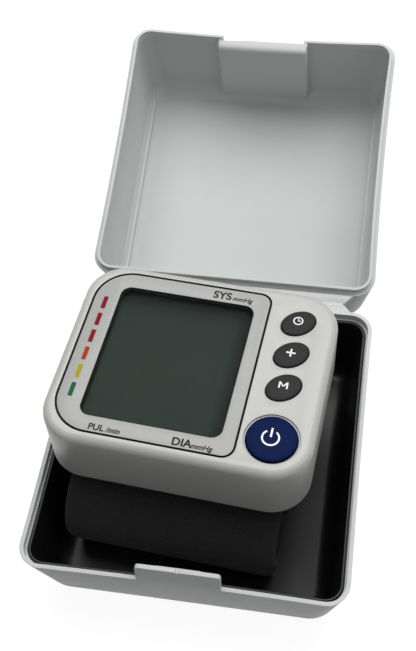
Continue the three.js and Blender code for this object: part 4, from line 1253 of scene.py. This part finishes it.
def walk(points, spacing):
    """Points along a path, evenly spaced by about that distance."""
    lengths = [0]
    for first, second in zip(points, points[1:]):
        lengths.append(lengths[-1] + (second - first).length)
    count = round(lengths[-1] / spacing)
    walked = []
    place = 0
    for step in range(count + 1):
        target = lengths[-1] * step / count
        while place < len(points) - 2 and lengths[place + 1] < target:
            place += 1
        share = (target - lengths[place]) / (lengths[place + 1] - lengths[place])
        walked.append(points[place].lerp(points[place + 1], min(share, 1)))
    return walked


cuff_path = walk(round_path(cuff_corners), row_pitch)


def sew_band(name, cloth, outer, inner, first, last, swell, crease):
    """A strip of fabric between two depths below the cuff's outer face, and two shares of its path.

    Swell is how far its inner face crowns between the seams, and crease the depth of its soft folds."""
    across = 30
    end_thickness = 0.45
    end_length = 2.4
    half = cuff_width / 2
    middle = (outer + inner) / 2
    rows = range(round(first * (len(cuff_path) - 1)), round(last * (len(cuff_path) - 1)) + 1)
    verts = []
    uvs = []
    for row in rows:
        before = cuff_path[max(row - 1, 0)]
        after = cuff_path[min(row + 1, len(cuff_path) - 1)]
        along = (after - before).normalized()
        inward = Vector((-along.y, along.x))
        end_distance = min(row - rows[0], rows[-1] - row) * row_pitch
        end_taper = min(1, end_thickness + (1 - end_thickness) * end_distance / end_length)
        for index in range(2 * across):
            outside = index <= across
            share = -math.cos(math.pi * (index if outside else 2 * across - index) / across)
            x = half * (0.35 * share + 0.65 * math.sin(math.pi / 2 * share))
            edge = abs(x) / half
            wave = math.sin(row * 0.37 + 0.06 * x) * math.sin(row * 0.113 + 0.021 * x)
            fold = crease * (0.5 + 0.5 * wave) * (1 - edge ** 4)
            reach = (inner - outer) / 2 * math.sqrt(max(1 - edge ** 18, 0.02)) * end_taper
            crown = swell * (1 - edge ** 2.5) * end_taper
            depth = middle - reach + fold if outside else middle + reach + crown - fold
            point = cuff_path[row] + inward * depth
            verts.append((x * MM, point.x * MM, point.y * MM))
            uvs.append((x * MM, row * row_pitch * MM))
    ring = 2 * across
    faces = []
    for start in range(0, len(verts) - ring, ring):
        for index in range(ring):
            following = (index + 1) % ring
            faces.append((start + index, start + following, start + ring + following, start + ring + index))
    for index in range(1, across):
        end_face = (index, index - 1, (ring - index + 1) % ring, ring - index)
        faces.append(end_face)
        faces.append([len(verts) - ring + corner for corner in reversed(end_face)])
    band = make_piece(name, verts, [], faces)
    chart = band.data.uv_layers.new(name="weave")
    for loop in band.data.loops:
        chart.data[loop.index].uv = uvs[loop.vertex_index]
    weld(band)
    finish(band, cloth, 60)
    seat_on_monitor(band)
    return band


# Woven cloth that follows the piece's own map: crossing threads, lint and slow fading
tree, given, result = add_skin("cloth_skin", {
    "Colour": (0.02, 0.02, 0.02, 1), "Faded colour": (0.03, 0.03, 0.03, 1),
    "Thread": 0.6 * MM, "Relief": 0.5,
})
chart = add_node(tree, "ShaderNodeUVMap", uv_map="weave").outputs["UV"]
split = add_node(tree, "ShaderNodeSeparateXYZ", {"Vector": chart}).outputs
turns = calculate(tree, "DIVIDE", math.pi, given["Thread"])
warp = calculate(tree, "SINE", calculate(tree, "MULTIPLY", split["X"], turns))
weft = calculate(tree, "SINE", calculate(tree, "MULTIPLY", split["Y"], turns))
over = calculate(tree, "ABSOLUTE", calculate(tree, "MULTIPLY", warp, weft))
lint = noise(tree, 2600, 4, 0.7)
relief = calculate(tree, "ADD", over, calculate(tree, "MULTIPLY", lint, 0.6))
fading = spread(tree, noise(tree, 55, 4, 0.6), 0.35, 0.7, 0, 1)
feed(tree, result, {
    "Colour": blend_colour(tree, fading, given["Colour"], given["Faded colour"]),
    "Roughness": spread(tree, lint, 0.3, 0.7, 0.82, 0.96),
    "Normal": raise_surface(tree, relief, given["Relief"], 0.25 * MM),
})
cloth_skin = tree


def woven(name, colour, faded, thread, relief):
    """A finish of cloth whose threads are that many millimetres apart."""
    material, tree, shader = new_finish(name)
    wear(tree, shader, cloth_skin, {
        "Colour": colour, "Faded colour": faded, "Thread": thread * MM, "Relief": relief,
    })
    feed(tree, shader, {"Sheen Weight": 0.12, "Sheen Roughness": 0.5, "Specular IOR Level": 0.2})
    return material


outer_cloth = woven("cuff_cloth", paint(17, 17, 18), paint(24, 24, 25), 0.8, 0.6)
inner_cloth = woven("lining_cloth", paint(22, 22, 24), paint(30, 30, 32), 0.5, 0.4)
outer_band = sew_band("cuff_outer", outer_cloth, outer=0, inner=band_thickness, first=0, last=1,
                      swell=0, crease=0.12)
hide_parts("cuff_band")
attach(outer_band, "monitor")
inner_band = sew_band("cuff_inner", inner_cloth, outer=2.6, inner=4.6, first=0.01, last=0.84,
                      swell=0.7, crease=0.2)
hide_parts("cuff_lining", "cuff_bladder")
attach(inner_band, "monitor")

# Stiffener, closing patches and rivets of the cuff. A springy sheet keeps the band round, a hook patch
# meets a looped one where the band laps, and four plated rivets hold the band to the rear shell.

coat_nodes(moulded("stiffener_sheet", paint(60, 60, 62), paint(68, 68, 70), 0.5, 2400, 0.15),
           "cuff_stiffener")
coat_nodes(moulded("hook_nylon", paint(20, 20, 21), paint(34, 34, 35), 0.7, 6000, 0.8, 0.6, 0.25),
           "hook_patch")
coat_nodes(moulded("loop_nylon", paint(26, 26, 27), paint(40, 40, 41), 0.9, 9000, 1, 0.8, 0.2),
           "loop_patch")
coat_nodes(nickel, *[f"cuff_rivet_{number}" for number in range(1, 5)])
